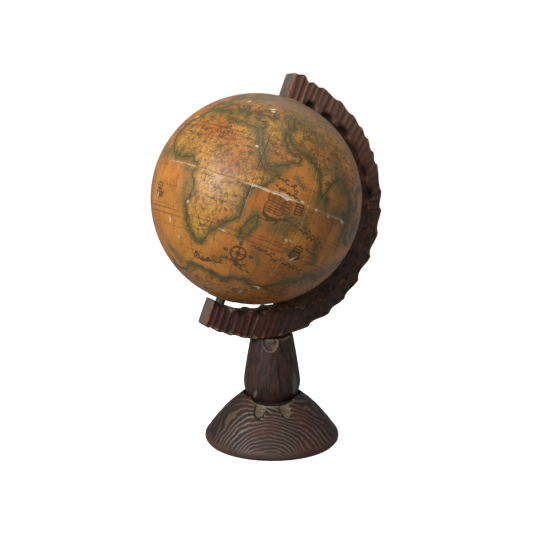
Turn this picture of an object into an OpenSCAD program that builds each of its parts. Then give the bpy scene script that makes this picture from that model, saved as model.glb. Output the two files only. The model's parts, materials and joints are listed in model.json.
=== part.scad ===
// Desktop globe on a carved wooden stand.
// Origin: centre of the felt's underside, +Z up. The C-shaped arm lies in the XZ plane,
// opens towards -X, and holds the globe's north pole leaning towards +X.

/* [Globe] */
// Diameter of the finished globe, over the paper
globe_d = 150; // [110:1:200]
// Lean of the globe's axis from the vertical, in degrees
axis_tilt = 22; // [15:0.5:28]
// Thickness of the cardboard hemispheres
shell_t = 2.5; // [1.5:0.1:4]
// Thickness of the map paper and its varnish
paper_t = 0.4; // [0.3:0.05:0.8]
// Paper gores on each hemisphere
gore_count = 12; // [12]
// Diameter of the round paper calotte that covers the gore tips at each pole
calotte_d = 20; // [15:0.5:26]
// Width of the cardboard band inside the equator joint
band_w = 14; // [8:1:24]
// Thickness of that band
band_t = 1.5; // [1:0.1:3]
// Diameter of the wooden block glued inside each pole
block_d = 28; // [20:1:40]
// Thickness of each pole block at its rim
block_h = 9; // [6:0.5:14]

/* [Axis] */
// Diameter of the steel axis rod
rod_d = 4; // [3:0.1:6]
// How deep the rod's lower end sits in the arm
rod_sunk = 12; // [8:0.5:13]
// Wall of the brass bushes in the poles
bush_wall = 1.5; // [1:0.1:2.5]
// Radial running clearance between the rod and the bushes
bush_clear = 0.05; // [0.02:0.01:0.1]
// Wall of the spacer that carries the south pole
spacer_wall = 1.5; // [1:0.1:3]
// Thickness of the brass washer above the north pole
washer_t = 0.8; // [0.5:0.1:1]
// How much wider than the rod that washer is, all round
washer_rim = 3; // [2:0.1:4]
// End play left between the globe and what it turns against
end_play = 0.3; // [0.2:0.05:0.6]
// Length of the wooden plug that closes the rod's upper hole
plug_l = 6; // [4:0.5:8]

/* [Arm] */
// Thickness of the arm, front to back
arm_t = 15; // [12:0.5:24]
// Gap between the arm and the south pole
gap_south = 4; // [3:0.1:8]
// Gap between the arm and the north pole
gap_north = 2; // [1.5:0.1:6]
// Mean depth of the arm from the globe's surface to its outer edge
arm_depth = 20.6; // [18:0.1:30]
// How far the outer edge's centre sits off the globe's centre
arm_shift = 8.5; // [4:0.1:10]
// Direction of that shift, in degrees from the globe's equator
arm_shift_at = -24; // [-40:1:0]
// How much deeper the inner edge is hollowed at its deepest place
hollow_depth = 14.5; // [4:0.1:15]
// Place of that deepest hollow, in degrees from the equator
hollow_at = -18; // [-25:1:0]
// How far the hollow reaches towards the north, in degrees
hollow_up = 92; // [60:1:100]
// How far the hollow reaches towards the south, in degrees
hollow_down = 40; // [25:1:41]
// How far the arm's ends reach past the globe's axis
end_past = 6.5; // [5:0.1:10]
// Carved scallops along the outer edge
scallop_count = 20; // [12:1:28]
// Depth of each scallop
scallop_depth = 1.8; // [0.5:0.1:3]

/* [Stem] */
// Height of the stem, from its seat to the arm along its axis
stem_h = 45; // [36:1:80]
// Place on the arm where the stem meets it, in degrees from the equator
stem_at = -61; // [-66:1:-56]
// Diameter of the stem's foot
foot_d = 38; // [30:0.5:50]
// Widest diameter of the stem
belly_d = 43.6; // [36:0.2:56]
// Height of the widest place above the stem's seat
belly_h = 8; // [6:0.5:14]
// Diameter of the stem under the arm
neck_d = 32; // [26:0.5:38]
// Diameter of the glued dowel between the stem and the arm
dowel_d = 8; // [6:0.5:10]
// Length of that dowel inside the stem
dowel_in_stem = 14; // [8:0.5:15]
// Length of that dowel inside the arm
dowel_in_arm = 13; // [8:0.5:14]

/* [Base] */
// Diameter of the base
base_d = 100; // [84:1:140]
// Height of the base's upright rim
rim_h = 4.2; // [3:0.1:8]
// Height of the base's cone above its rim
cone_h = 31; // [24:0.5:44]
// Depth of the round seat that the stem stands in
seat_depth = 3.5; // [2:0.1:5]
// Radial clearance between the stem and the mouth of its seat
seat_clear = 0.2; // [0.1:0.05:0.6]
// Width of the lip round that seat
lip_w = 1.7; // [1:0.1:4]
// Thickness of the felt under the base
felt_t = 1.2; // [0.8:0.1:3]
// How far the felt's edge stays inside the base's edge
felt_inset = 2; // [0.5:0.1:6]

/* [Base screw] */
// Diameter of the screw that holds the stem to the base
screw_d = 4; // [3:0.1:6]
// Length of the screw inside the stem
screw_in_stem = 16; // [8:0.5:16]
// Diameter of the screw's head
screw_head_d = 8; // [7:0.1:11]
// Height of the screw's head
screw_head_h = 2.8; // [2:0.1:4]
// Radial clearance of the screw in the base
screw_clear = 0.3; // [0.1:0.05:0.6]
// Depth of the pocket for the head, in the base's underside
pocket_depth = 12; // [8:0.5:14]
// Diameter of that pocket
pocket_d = 14; // [13:0.5:20]
// Diameter of the screw's washer
screw_washer_d = 12; // [9:0.5:12.5]
// Thickness of the screw's washer
screw_washer_t = 1; // [0.6:0.1:2]

/* [Hidden] */
$fn = 96;
eps = 0.01;
globe_r = globe_d / 2;
card_r = globe_r - paper_t;
inner_r = card_r - shell_t;
bush_d = rod_d + 2 * (bush_clear + bush_wall);
bush_from = inner_r - block_h;
end_angle = 96;
scallop_pitch = 2 * end_angle / scallop_count;
points_per_scallop = 6;
inner_steps = 48;
arm_outer_r = globe_r + arm_depth;
arm_reach = arm_outer_r + 2 * arm_shift;
base_z = felt_t;
rim_z = base_z + rim_h;
lip_z = rim_z + cone_h;
seat_z = lip_z - seat_depth;
arm_z = seat_z + stem_h;
stem_angle = stem_at - axis_tilt;
globe_x = -outer_r(stem_at) * cos(stem_angle);
globe_z = arm_z - outer_r(stem_at) * sin(stem_angle);
seat_r = stem_r(seat_depth) + seat_clear;
lip_r = seat_r + lip_w;
rod_low = -(globe_r + gap_south + rod_sunk);
rod_top = outer_r(90) - plug_l - scallop_depth;
stem_top = stem_h + neck_d / 4;
stem_seat_half = asin(neck_d / 2 / arm_outer_r) + scallop_pitch / 2;
stem_steps = 16;
wedge_l = 2 * globe_r;
spot_face = 0.5;
spot_clear = 0.2;
chamfer = 0.8;
slot_w = 1.2;
slot_h = 1.3;
wood = "#4a3128";
wood_light = "#5c4335";

// ---- Curves that several pieces share ----

function gore_name(side, i) = str(side, "_gore_", i < 10 ? "0" : "", i);

// Radius of the arm's outer edge before carving, at an angle from the equator.
function outer_r(a) = arm_outer_r + arm_shift * cos(a - arm_shift_at);

// Radius of the arm's inner edge: the pole gaps, plus the hollow between them.
function hollow_turn(a) = 90 * (a - hollow_at) / (a > hollow_at ? hollow_up : hollow_down);
function hollow(a) = hollow_depth * max(0, cos(min(90, abs(hollow_turn(a)))));
function pole_gap(a) = gap_south + (gap_north - gap_south) * (a + 90) / 180;
function inner_edge(a) = globe_r + pole_gap(a) + hollow(a);

function polar(r, a) = [r * cos(a), r * sin(a)];
function scallop_start(i) = -end_angle + scallop_pitch * i;
function under_stem(i) = abs(scallop_start(i + 0.5) - stem_at) < stem_seat_half;
function carved_r(i, f) = outer_r(scallop_start(i + f)) - (under_stem(i) ? 0 : scallop_depth * 4 * f * (1 - f));
function outer_points() = [
    for (i = [0:scallop_count - 1])
        for (j = [0:points_per_scallop - 1])
            polar(carved_r(i, j / points_per_scallop), scallop_start(i + j / points_per_scallop)),
    polar(outer_r(end_angle), end_angle)
];
function inner_points() = [
    for (i = [0:inner_steps])
        let (a = end_angle - 2 * end_angle * i / inner_steps) polar(inner_edge(a), a)
];

// Radius of the stem at a height above its seat: a rounded foot, then a long taper.
function stem_r(h) = h < belly_h
    ? foot_d / 2 + (belly_d - foot_d) / 2 * sin(90 * h / belly_h)
    : belly_d / 2 - (belly_d - neck_d) / 2 * pow((h - belly_h) / (stem_h - belly_h), 1.15);

// ---- Helpers ----

// The globe's own frame: its centre at the origin and its axis along +Z.
module on_globe() {
    translate([globe_x, 0, globe_z])
        rotate([0, axis_tilt, 0])
            children();
}

module pole_side(side) {
    mirror([0, 0, side == "north" ? 0 : 1])
        children();
}

// A tube or disc along +Z between two heights.
module bar(d, low, high) {
    translate([0, 0, low])
        cylinder(d = d, h = high - low);
}

module half_space(r) {
    translate([-r, -r, 0])
        cube([2 * r, 2 * r, r]);
}

module sphere_shell(r_out, r_in) {
    difference() {
        sphere(r = r_out);
        sphere(r = r_in);
    }
}

// A plate in the arm's plane, from points given as (equator, axis) pairs.
module in_arm_plane(points, thickness) {
    rotate([90, 0, 0])
        linear_extrude(height = thickness, center = true)
            polygon(points);
}

module beyond_arm_ends() {
    translate([-end_past - 2 * arm_reach, -arm_reach, -2 * arm_reach])
        cube([2 * arm_reach, 2 * arm_reach, 4 * arm_reach]);
}

// ---- Stand ----

module base() {
    rim_r = base_d / 2;
    color(wood_light)
        difference() {
            rotate_extrude()
                polygon([
                    [0, base_z],
                    [rim_r - chamfer, base_z],
                    [rim_r, base_z + chamfer],
                    [rim_r, rim_z - chamfer],
                    [rim_r - chamfer, rim_z],
                    [lip_r, lip_z],
                    [seat_r, lip_z],
                    [seat_r, seat_z],
                    [0, seat_z]
                ]);
            bar(pocket_d, 0, base_z + pocket_depth);
            bar(screw_d + 2 * screw_clear, 0, lip_z);
        }
}

module felt_pad() {
    color("#2f3b2c")
        bar(base_d - 2 * felt_inset, 0, felt_t);
}

module base_screw() {
    head_z = base_z + pocket_depth - screw_washer_t;
    color("silver")
        difference() {
            union() {
                bar(screw_d, head_z - eps, seat_z + screw_in_stem);
                bar(screw_head_d, head_z - screw_head_h, head_z);
            }
            translate([0, 0, head_z - screw_head_h])
                cube([2 * screw_head_d, slot_w, 2 * slot_h], center = true);
        }
}

module base_screw_washer() {
    washer_top = base_z + pocket_depth;
    color("silver")
        difference() {
            bar(screw_washer_d, washer_top - screw_washer_t, washer_top);
            bar(screw_d + 2 * screw_clear, 0, lip_z);
        }
}

module stem() {
    profile = concat(
        [[0, 0]],
        [for (i = [0:stem_steps]) let (h = belly_h * i / stem_steps) [stem_r(h), h]],
        [for (i = [1:stem_steps]) let (h = belly_h + (stem_h - belly_h) * i / stem_steps) [stem_r(h), h]],
        [[neck_d / 2, stem_top], [0, stem_top]]
    );
    color(wood)
        difference() {
            translate([0, 0, seat_z])
                rotate_extrude()
                    polygon(profile);
            on_globe()
                in_arm_plane(outer_points(), 2 * belly_d);
            bar(dowel_d, arm_z - dowel_in_stem, arm_z + neck_d);
            bar(screw_d, 0, seat_z + screw_in_stem);
        }
}

module arm_dowel() {
    color("burlywood")
        bar(dowel_d, arm_z - dowel_in_stem, arm_z + dowel_in_arm);
}

module meridian_arm() {
    color(wood)
        difference() {
            on_globe()
                difference() {
                    in_arm_plane(concat(outer_points(), inner_points()), arm_t);
                    beyond_arm_ends();
                    bar(rod_d, rod_low, rod_top);
                    bar(rod_d, rod_top, arm_reach);
                    pole_side("south")
                        bar(rod_d + 2 * (spacer_wall + spot_clear), 0, globe_r + gap_south + spot_face);
                    bar(rod_d + 2 * (washer_rim + spot_clear), 0, globe_r + gap_north + spot_face);
                }
            bar(dowel_d, arm_z - neck_d, arm_z + dowel_in_arm);
        }
}

module axis_rod() {
    color("silver")
        on_globe()
            bar(rod_d, rod_low, rod_top);
}

module rod_plug() {
    color("burlywood")
        on_globe()
            intersection() {
                bar(rod_d, rod_top, arm_reach);
                in_arm_plane(outer_points(), arm_t);
            }
}

module lower_spacer() {
    color("#5a5a4c")
        on_globe()
            pole_side("south")
                difference() {
                    bar(rod_d + 2 * spacer_wall, globe_r + end_play, globe_r + gap_south + spot_face);
                    bar(rod_d, 0, arm_reach);
                }
}

module upper_washer() {
    seat = globe_r + gap_north + spot_face;
    color("goldenrod")
        on_globe()
            difference() {
                bar(rod_d + 2 * washer_rim, seat - washer_t, seat);
                bar(rod_d, 0, arm_reach);
            }
}

// ---- Globe ----

module hemisphere(side) {
    color("#b79b6c")
        on_globe()
            pole_side(side)
                difference() {
                    intersection() {
                        sphere_shell(card_r, inner_r);
                        half_space(globe_r);
                    }
                    bar(bush_d, 0, globe_r);
                }
}

module equator_band() {
    color("#a08862")
        on_globe()
            intersection() {
                sphere_shell(inner_r, inner_r - band_t);
                cube([2 * globe_r, 2 * globe_r, band_w], center = true);
            }
}

module pole_block(side) {
    color("burlywood")
        on_globe()
            pole_side(side)
                difference() {
                    intersection() {
                        sphere(r = inner_r);
                        bar(block_d, bush_from, globe_r);
                    }
                    bar(bush_d, 0, globe_r);
                }
}

module bush(side) {
    color("goldenrod")
        on_globe()
            pole_side(side)
                difference() {
                    bar(bush_d, bush_from, globe_r);
                    bar(rod_d + 2 * bush_clear, 0, 2 * globe_r);
                }
}

module calotte(side) {
    color("#c48a45")
        on_globe()
            pole_side(side)
                difference() {
                    intersection() {
                        sphere_shell(globe_r, card_r);
                        bar(calotte_d, 0, globe_r);
                    }
                    bar(bush_d, 0, 2 * globe_r);
                }
}

module gore(side, i) {
    a0 = 360 / gore_count * (i - 1);
    a1 = 360 / gore_count * i;
    color(i % 2 == 0 ? "#c08038" : "#b87a3a")
        on_globe()
            pole_side(side)
                difference() {
                    intersection() {
                        sphere_shell(globe_r, card_r);
                        linear_extrude(height = globe_r)
                            polygon([[0, 0], polar(wedge_l, a0), polar(wedge_l, a1)]);
                    }
                    bar(calotte_d, 0, 2 * globe_r);
                }
}

// ---- Nodes ----

base();
felt_pad();
base_screw();
base_screw_washer();
stem();
arm_dowel();
meridian_arm();
axis_rod();
rod_plug();
lower_spacer();
upper_washer();
hemisphere("north");  // north_hemisphere
hemisphere("south");  // south_hemisphere
equator_band();
pole_block("north");  // north_pole_block
pole_block("south");  // south_pole_block
bush("north");  // north_bush
bush("south");  // south_bush
calotte("north");  // north_calotte
calotte("south");  // south_calotte
for (i = [1:gore_count]) gore("north", i);
for (i = [1:gore_count]) gore("south", i);
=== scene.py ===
"""Looks of the desktop globe: carved wooden stand, paper map with an open equator joint, studio stage."""

import json
import math

import bpy
import numpy as np
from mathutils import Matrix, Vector
from mathutils.kdtree import KDTree


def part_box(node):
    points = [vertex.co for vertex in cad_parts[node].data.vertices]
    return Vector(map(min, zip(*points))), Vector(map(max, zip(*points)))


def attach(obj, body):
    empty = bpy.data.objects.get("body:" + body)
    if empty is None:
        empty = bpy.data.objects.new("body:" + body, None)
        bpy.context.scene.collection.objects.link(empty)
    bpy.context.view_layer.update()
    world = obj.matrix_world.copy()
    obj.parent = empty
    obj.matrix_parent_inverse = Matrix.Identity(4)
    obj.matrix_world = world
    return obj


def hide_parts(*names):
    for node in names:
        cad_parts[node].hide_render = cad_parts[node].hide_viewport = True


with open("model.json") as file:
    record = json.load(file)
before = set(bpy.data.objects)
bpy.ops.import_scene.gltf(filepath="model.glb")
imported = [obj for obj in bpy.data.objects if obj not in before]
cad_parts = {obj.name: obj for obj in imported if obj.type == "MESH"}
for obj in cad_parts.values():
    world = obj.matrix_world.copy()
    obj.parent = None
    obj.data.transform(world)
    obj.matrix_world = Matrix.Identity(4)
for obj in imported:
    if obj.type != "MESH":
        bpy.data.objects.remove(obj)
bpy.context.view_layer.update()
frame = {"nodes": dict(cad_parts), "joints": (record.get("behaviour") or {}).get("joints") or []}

# ------------------------------ sizes, from the frame

MM = 0.001
TURN = 2 * math.pi

spin = frame["joints"][0]
CENTRE = np.array(spin["pos_m"], float) / MM
NORTH = np.array(spin["axis"], float) / np.linalg.norm(spin["axis"])
ACROSS = np.array([0.0, 1.0, 0.0])
OUTWARD = np.cross(ACROSS, NORTH)
GORES = 12
GLOBE_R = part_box("north_gore_04")[1].y / MM
CALOTTE_R = (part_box("north_calotte")[1].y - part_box("north_calotte")[0].y) / 2 / MM
ARM_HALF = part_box("meridian_arm")[1].y / MM + 0.4
BASE_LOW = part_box("base")[0].z / MM
BASE_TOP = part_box("base")[1].z / MM
BASE_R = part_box("base")[1].y / MM
STEM_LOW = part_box("stem")[0].z / MM
BELLY_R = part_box("stem")[1].y / MM


def to_world(local):
    """Points in the globe's own frame (outward, across, north), in mm, as mm in the frame."""
    return CENTRE + local @ np.array([OUTWARD, ACROSS, NORTH])


# ------------------------------ seeded noise on numpy points


def lattice(cell, seed):
    """A repeatable random number from -1 to 1 for each whole-numbered cell."""
    h = cell[..., 0] * 374761393 + cell[..., 1] * 668265263 + cell[..., 2] * 2147483647 + seed * 1274126177
    h = (h ^ (h >> 13)) * 1103515245
    h = (h ^ (h >> 16)) & 0xFFFFFF
    return h / float(0x7FFFFF) - 1.0


def noise(points, size, seed=0):
    """Smooth value noise from -1 to 1 whose features are about size across."""
    p = np.asarray(points, float) / size
    cell = np.floor(p).astype(np.int64)
    f = p - cell
    f = f * f * (3 - 2 * f)
    total = 0
    for corner in np.ndindex(2, 2, 2):
        weight = np.prod(np.where(np.array(corner) == 1, f, 1 - f), axis=-1)
        total = total + weight * lattice(cell + np.array(corner), seed)
    return total


def rough_noise(points, size, seed=0, octaves=3):
    total = sum(noise(points, size / 2**k, seed + k) / 2**k for k in range(octaves))
    return total / (2 - 0.5 ** (octaves - 1))


def smoothstep(low, high, value):
    t = np.clip((value - low) / (high - low), 0, 1)
    return t * t * (3 - 2 * t)


# ------------------------------ meshes


def new_object(name, data):
    obj = bpy.data.objects.new(name, data)
    bpy.context.scene.collection.objects.link(obj)
    return obj


def store(mesh, name, *grids):
    """Keeps one number, or three as a vector, at every point of the mesh."""
    vector = len(grids) == 3
    attribute = mesh.attributes.new(name, "FLOAT_VECTOR" if vector else "FLOAT", "POINT")
    values = np.stack(grids, axis=-1).astype(np.float32)
    attribute.data.foreach_set("vector" if vector else "value", values.ravel())


def grid_object(name, points, wrap=False, flip=False, ends=()):
    """A smooth mesh through a (rows, columns, 3) grid of points in mm. ends: rows closed with one face."""
    rows, cols = points.shape[:2]
    full = np.arange(rows * cols).reshape(rows, cols)
    index, step = full, np.roll(full, -1, axis=1)
    if not wrap:
        index, step = index[:, :-1], step[:, :-1]
    faces = np.stack([index[:-1], step[:-1], step[1:], index[1:]], axis=-1).reshape(-1, 4)
    if flip:
        faces = faces[:, ::-1]
    loops = [faces.ravel()]
    starts = [np.arange(0, faces.size, 4)]
    for row in ends:
        ring = full[row] if (row == 0) == flip else full[row][::-1]
        starts.append(np.array([sum(len(part) for part in loops)]))
        loops.append(ring)
    mesh = bpy.data.meshes.new(name)
    mesh.vertices.add(rows * cols)
    mesh.vertices.foreach_set("co", (points.reshape(-1, 3) * MM).astype(np.float32).ravel())
    loops = np.concatenate(loops)
    starts = np.concatenate(starts)
    mesh.loops.add(len(loops))
    mesh.loops.foreach_set("vertex_index", loops.astype(np.int32))
    mesh.polygons.add(len(starts))
    mesh.polygons.foreach_set("loop_start", starts.astype(np.int32))
    mesh.update(calc_edges=True)
    mesh.validate()
    mesh.polygons.foreach_set("use_smooth", np.ones(len(mesh.polygons), bool))
    return new_object(name, mesh)


def place(obj, body, node, slot, *materials):
    """Rides on its body, stands for one CAD node and takes its materials."""
    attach(obj, body)
    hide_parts(node)
    for material in materials:
        obj.data.materials.append(material)


# ------------------------------ shader building


class Shader:
    """A short way to write a procedural material."""

    def __init__(self, name):
        self.material = bpy.data.materials.new(name)
        self.material.use_nodes = True
        self.tree = self.material.node_tree
        self.surface = self.tree.nodes["Principled BSDF"]
        where = self.node("ShaderNodeTexCoord").outputs["Object"]
        self.here = self.vector("SCALE", where, scale=1 / MM)
        self.color = None

    def node(self, kind, **settings):
        made = self.tree.nodes.new(kind)
        for key, value in settings.items():
            setattr(made, key, value)
        return made

    def feed(self, socket, value):
        if isinstance(value, bpy.types.NodeSocket):
            self.tree.links.new(value, socket)
        elif value is not None:
            socket.default_value = value

    def math(self, operation, a, b=None, c=None):
        made = self.node("ShaderNodeMath", operation=operation)
        for socket, value in zip(made.inputs, (a, b, c)):
            self.feed(socket, value)
        return made.outputs[0]

    def vector(self, operation, a, b=None, scale=None):
        made = self.node("ShaderNodeVectorMath", operation=operation)
        self.feed(made.inputs[0], a)
        self.feed(made.inputs[1], b)
        if scale is not None:
            self.feed(made.inputs["Scale"], scale)
        return made.outputs["Vector"]

    def stretched(self, at, x, y, z):
        """The place at, squeezed along each axis, so that what is drawn there is drawn out."""
        return self.vector("MULTIPLY", at, (x, y, z))

    def number(self, name):
        return self.node("ShaderNodeAttribute", attribute_name=name).outputs["Fac"]

    def parts(self, name):
        source = self.node("ShaderNodeAttribute", attribute_name=name).outputs["Vector"]
        split = self.node("ShaderNodeSeparateXYZ")
        self.feed(split.inputs[0], source)
        return split.outputs

    def noise(self, size, detail=3.0, roughness=0.55, at=None, distortion=0.0):
        made = self.node("ShaderNodeTexNoise")
        self.feed(made.inputs["Vector"], self.here if at is None else at)
        made.inputs["Scale"].default_value = 1 / size
        made.inputs["Detail"].default_value = detail
        made.inputs["Roughness"].default_value = roughness
        made.inputs["Distortion"].default_value = distortion
        return made.outputs["Fac"]

    def cells(self, size, feature="F1"):
        made = self.node("ShaderNodeTexVoronoi", feature=feature)
        self.feed(made.inputs["Vector"], self.here)
        made.inputs["Scale"].default_value = 1 / size
        return made.outputs["Distance"]

    def ramp(self, value, low, high, start=0.0, end=1.0):
        made = self.node("ShaderNodeMapRange", interpolation_type="SMOOTHSTEP")
        for socket, item in zip(made.inputs, (value, low, high, start, end)):
            self.feed(socket, item)
        return made.outputs["Result"]

    def cloud(self, size, detail, low, high, start=0.0, end=1.0, roughness=0.55):
        """Soft patches: noise turned into numbers that go from start, at low, to end, at high."""
        return self.ramp(self.noise(size, detail, roughness), low, high, start, end)

    def line(self, value, half, soft):
        """1 where value is within half of zero, fading over soft."""
        return self.ramp(self.math("ABSOLUTE", value), half, half + soft, 1.0, 0.0)

    def from_lines(self, value, first, pitch):
        """How far value is, in pitches, from the nearest of evenly spaced lines."""
        turns = self.math("DIVIDE", self.math("SUBTRACT", value, first), pitch)
        return self.math("SUBTRACT", self.math("FRACT", self.math("ADD", turns, 0.5)), 0.5)

    def times(self, *values):
        total = values[0]
        for value in values[1:]:
            total = self.math("MULTIPLY", total, value)
        return total

    def mix(self, share, a, b):
        made = self.node("ShaderNodeMix", data_type="RGBA")
        self.feed(made.inputs["Factor"], share)
        self.feed(made.inputs["A"], rgba(a))
        self.feed(made.inputs["B"], rgba(b))
        return made.outputs["Result"]

    def coat(self, color, *shares):
        """Lays one more colour over what is there, as strongly as the product of the shares."""
        self.color = self.mix(self.times(*shares), self.color, color)

    def bump(self, height, depth):
        made = self.node("ShaderNodeBump")
        made.inputs["Distance"].default_value = depth * MM
        self.feed(made.inputs["Height"], height)
        return made.outputs["Normal"]

    def finish(self, roughness, normal=None, specular=None):
        self.feed(self.surface.inputs["Specular IOR Level"], specular)
        self.feed(self.surface.inputs["Base Color"], self.color)
        self.feed(self.surface.inputs["Roughness"], roughness)
        self.feed(self.surface.inputs["Normal"], normal)
        return self.material


def rgba(color):
    """An sRGB colour in 0-255 becomes a linear one; sockets pass through."""
    if not isinstance(color, tuple):
        return color
    linear = [((c / 255 + 0.055) / 1.055) ** 2.4 if c > 10 else c / 3294.6 for c in color]
    return (*linear, 1.0)


# ------------------------------ map: outlines in degrees, latitude then longitude

LAND = {
    "africa": """35.8 -6 37 10 33 11 32.5 15 30.5 19 32.5 22 31 29 31.3 32.3 24 36 18.5 38
        14.5 40.5 11.8 43 10.6 44.5 11.5 49 12 51 6 49 2 45.5 -2.5 40.8 -6.5 39.5 -11 40.3 -15 40.3
        -18 37.5 -20 34 -24 30.5 -27.5 26.5 -31 25.3 -33.8 23 -34.8 20 -33.6 17.2 -30 13.6 -28.5 12.4
        -22.5 10.8 -16.5 8.8 -12 11.5 -6 11.8 -1 9 4 9.3 4.3 7 6.2 4 5 1 4.8 -3 4.5 -7.7 7.5 -12.5
        10.5 -15 12.5 -17 14.7 -17.5 20 -17 24 -16 28 -12.5 31 -9.8 33.5 -8""",
    "eurasia": """31.6 34.6 29.5 36.5 24 38.8 20 41 15.5 43 12.8 44.6 13.5 47.5 15.5 51.5 17 55
        19.8 60 22.5 61 25 58 24.3 54.5 25.5 51.8 29 49.3 33 48.6 32.5 51.5 27.5 54.5 26.8 57.5 25.3 61
        25.2 66.5 22.5 69 21 72 16 73.5 10 76 8 77.5 12 80 16 81.5 20.5 86.5 22 90 20 92.5 16 94.3 16.5 97
        12 98.8 7 99.5 3 101.3 1.4 103.8 4.5 103.4 8.5 100.3 13.3 100.3 11 103 8.8 105 12 109.2 17 107
        21 107.5 21.5 111 23 116.5 27 120.3 31 122 35 119.5 37.5 122.3 39 118 40.5 121.5 38 125 34.5 126.5
        36 129.4 40 127.8 43 132 48 139.5 53.5 141 56 136 59.5 146 61 155 57 156.5 51.5 156.7 57 162.5
        61 170 64.5 178 69 179 70.5 160 72.5 140 73.5 125 77 104 73 87 72.5 73 68.5 68 69 58 66.5 43
        69.5 33 71 26 67 14 62 5.5 58.3 7 59 10.5 55.5 13 57 17 60.5 17.5 65.5 23 60.2 23 59.8 29.5
        57.5 23 54.5 19 54 11 57.5 10 54 8.5 52 4 49.5 0 48.5 -4.5 46 -1.2 43.4 -2 43.5 -8.5 38.7 -9.3
        37 -8.5 36.2 -5.6 37 -1.8 41 1.5 43.3 4 44.3 8.8 41.5 12.5 38 15.8 40.5 18 44.5 12.5 45.5 13.8
        41.8 19.3 37 22 40.5 23 41 28.5 38.5 26.5 36.5 29 36.8 34.5 34 35.8""",
    "black_sea": "41.3 29 41.5 36 41.8 41.5 44.7 37.5 46.8 37 45.3 33.5 46.3 31 43.5 28",
    "caspian": "37 50 37.5 53.8 42 52.5 46.8 52 46.5 48.5 42.5 47.8 39.5 49.3",
    "madagascar": "-10.9 49 -15.5 50.2 -20 48 -24 46 -24.8 43.3 -21 42.6 -17.5 44.2 -14.5 46",
    "ceylon": "9.5 80.2 7.5 81.8 6 80.6 8 79.8",
    "sumatra": "5.5 95.3 1.5 102 -3 106 -5.8 105.5 -2 101 2 98",
    "java": "-6.5 105.5 -6.8 110.5 -7.8 114.5 -8.3 111 -7.5 107",
    "borneo": "7 117 4.5 118.5 0.5 117.7 -3.8 115.5 -3 110.5 1.5 109.3 3 112.5",
    "celebes": "1.5 125 0.5 120.5 -3 121.5 -5.5 120 -3 119 1 119.8",
    "new_guinea": "-0.8 131 -2 137 -5 145 -10 150.5 -8 143.5 -7.8 138.5 -4 133",
    "japan": "45.4 141.8 42 144 38 141 35 140 33.5 135 31.2 131 34.3 131 37 137 40.5 140",
    "philippines": "18.5 121 14 124 8 126.5 6 125 8 122.5 13.5 120.3",
    "britain": "58.5 -3 55.5 -1.8 52.8 1.6 51 1.2 50.2 -5.3 52 -4.8 54.5 -3.2 56.5 -6",
    "ireland": "55.2 -7 52.2 -6.4 51.6 -9.8 54.3 -9.8",
    "iceland": "66.3 -16 64.5 -14 63.4 -19 65 -24",
    "greenland": "83 -30 76 -19 70 -23 65 -39 60 -44 65 -53 72 -56 76.5 -70 80 -66",
    "north_america": """71 -156 70 -130 68.5 -110 72 -95 68 -85 64 -88 58.5 -94 55 -82 51.5 -80 58 -78
        62.5 -77 60 -65 55 -59 52 -56 50 -63 47 -65 45 -62 43 -70 41 -71 37 -76 34.5 -76.5 31 -81.3 26 -80
        25.5 -81.3 29.5 -84 30.2 -89 29 -94.5 24 -97.8 19 -96 18.7 -92 21.5 -87.3 16 -88.5 15 -83.5
        10.5 -83.5 9 -78.5 7.5 -80.5 10 -85.5 13.5 -90 16 -95 18.5 -103.5 23 -107 31 -113.5 28 -114.5
        33 -117.5 37 -122.5 43 -124.4 48.5 -124.6 54.5 -130.5 59 -139 60.5 -147 56.5 -157 55 -163 60 -165
        65.5 -167.5""",
    "south_america": """9 -78 12.3 -71.5 10.5 -63 6 -54 0 -50 -2.5 -43 -5.2 -35.3 -10 -36.3 -17.5 -39
        -23 -42 -28 -48.5 -34.5 -54 -37.5 -57.5 -41 -65 -47 -66 -52.3 -69 -54 -72 -47 -75 -40 -73.7
        -30 -71.5 -18.5 -70.3 -14 -76 -6 -81 -2 -80.5 2.5 -78.5 7.3 -77.8""",
    "antilles": "22.8 -83 22.5 -78 20.3 -74.2 21 -78.3",
    "southern_land": """-90 -180 -58 -180 -62 -150 -66 -120 -60 -95 -58 -75 -61 -60 -63 -45 -60 -25
        -57 -5 -51 10 -51.3 25 -52.4 32 -53.8 41 -49.2 50 -47.4 57 -50.5 64 -49.6 74 -43 83 -36.5 93.6
        -31 100 -27 112 -20 118 -15 125 -18 138 -26 148 -36 150 -45 158 -50 172 -58 180 -90 180""",
}
# Azimuth of the map's zero meridian, latitude of the open joint, and spacing of coast points, in degrees.
MAP_TURN = 199.0
SEAM_LAT = 1.7
COAST_STEP = 0.45
# Spacing, in mm, of the stored points of coasts and of drawn strokes, and the number of marks tried on land.
COAST_SPACING = 0.25
STROKE_SPACING = 0.2
LAND_MARKS = 3600


def outline(text, rng):
    """A closed outline of (latitude, longitude) points, roughened between its corners."""
    corners = np.array(text.split(), float).reshape(-1, 2)
    points = [corners[0]]
    for a, b in zip(corners, np.roll(corners, -1, axis=0)):
        stretch = [a, b]
        while np.hypot(*(stretch[1] - stretch[0])) > COAST_STEP and a[0] > -89 and b[0] > -89:
            middles = []
            for p, q in zip(stretch[:-1], stretch[1:]):
                d = q - p
                bend = rng.normal(0, 0.11)
                middles.append((p + q) / 2 + bend * np.array([d[1], -d[0]]))
            stretch = [x for pair in zip(stretch[:-1], middles) for x in pair] + [stretch[-1]]
        points += stretch[1:]
    return np.array(points)


def direction(lat, azimuth):
    """Unit vectors, in the globe's own frame, of places in degrees."""
    lat, azimuth = np.radians(lat), np.radians(azimuth)
    return np.stack([np.cos(lat) * np.cos(azimuth), np.cos(lat) * np.sin(azimuth), np.sin(lat)], axis=-1)


def tree_of(points):
    """A search tree for the nearest of many points."""
    tree = KDTree(len(points))
    for i, p in enumerate(points):
        tree.insert(p, i)
    tree.balance()
    return tree


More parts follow.
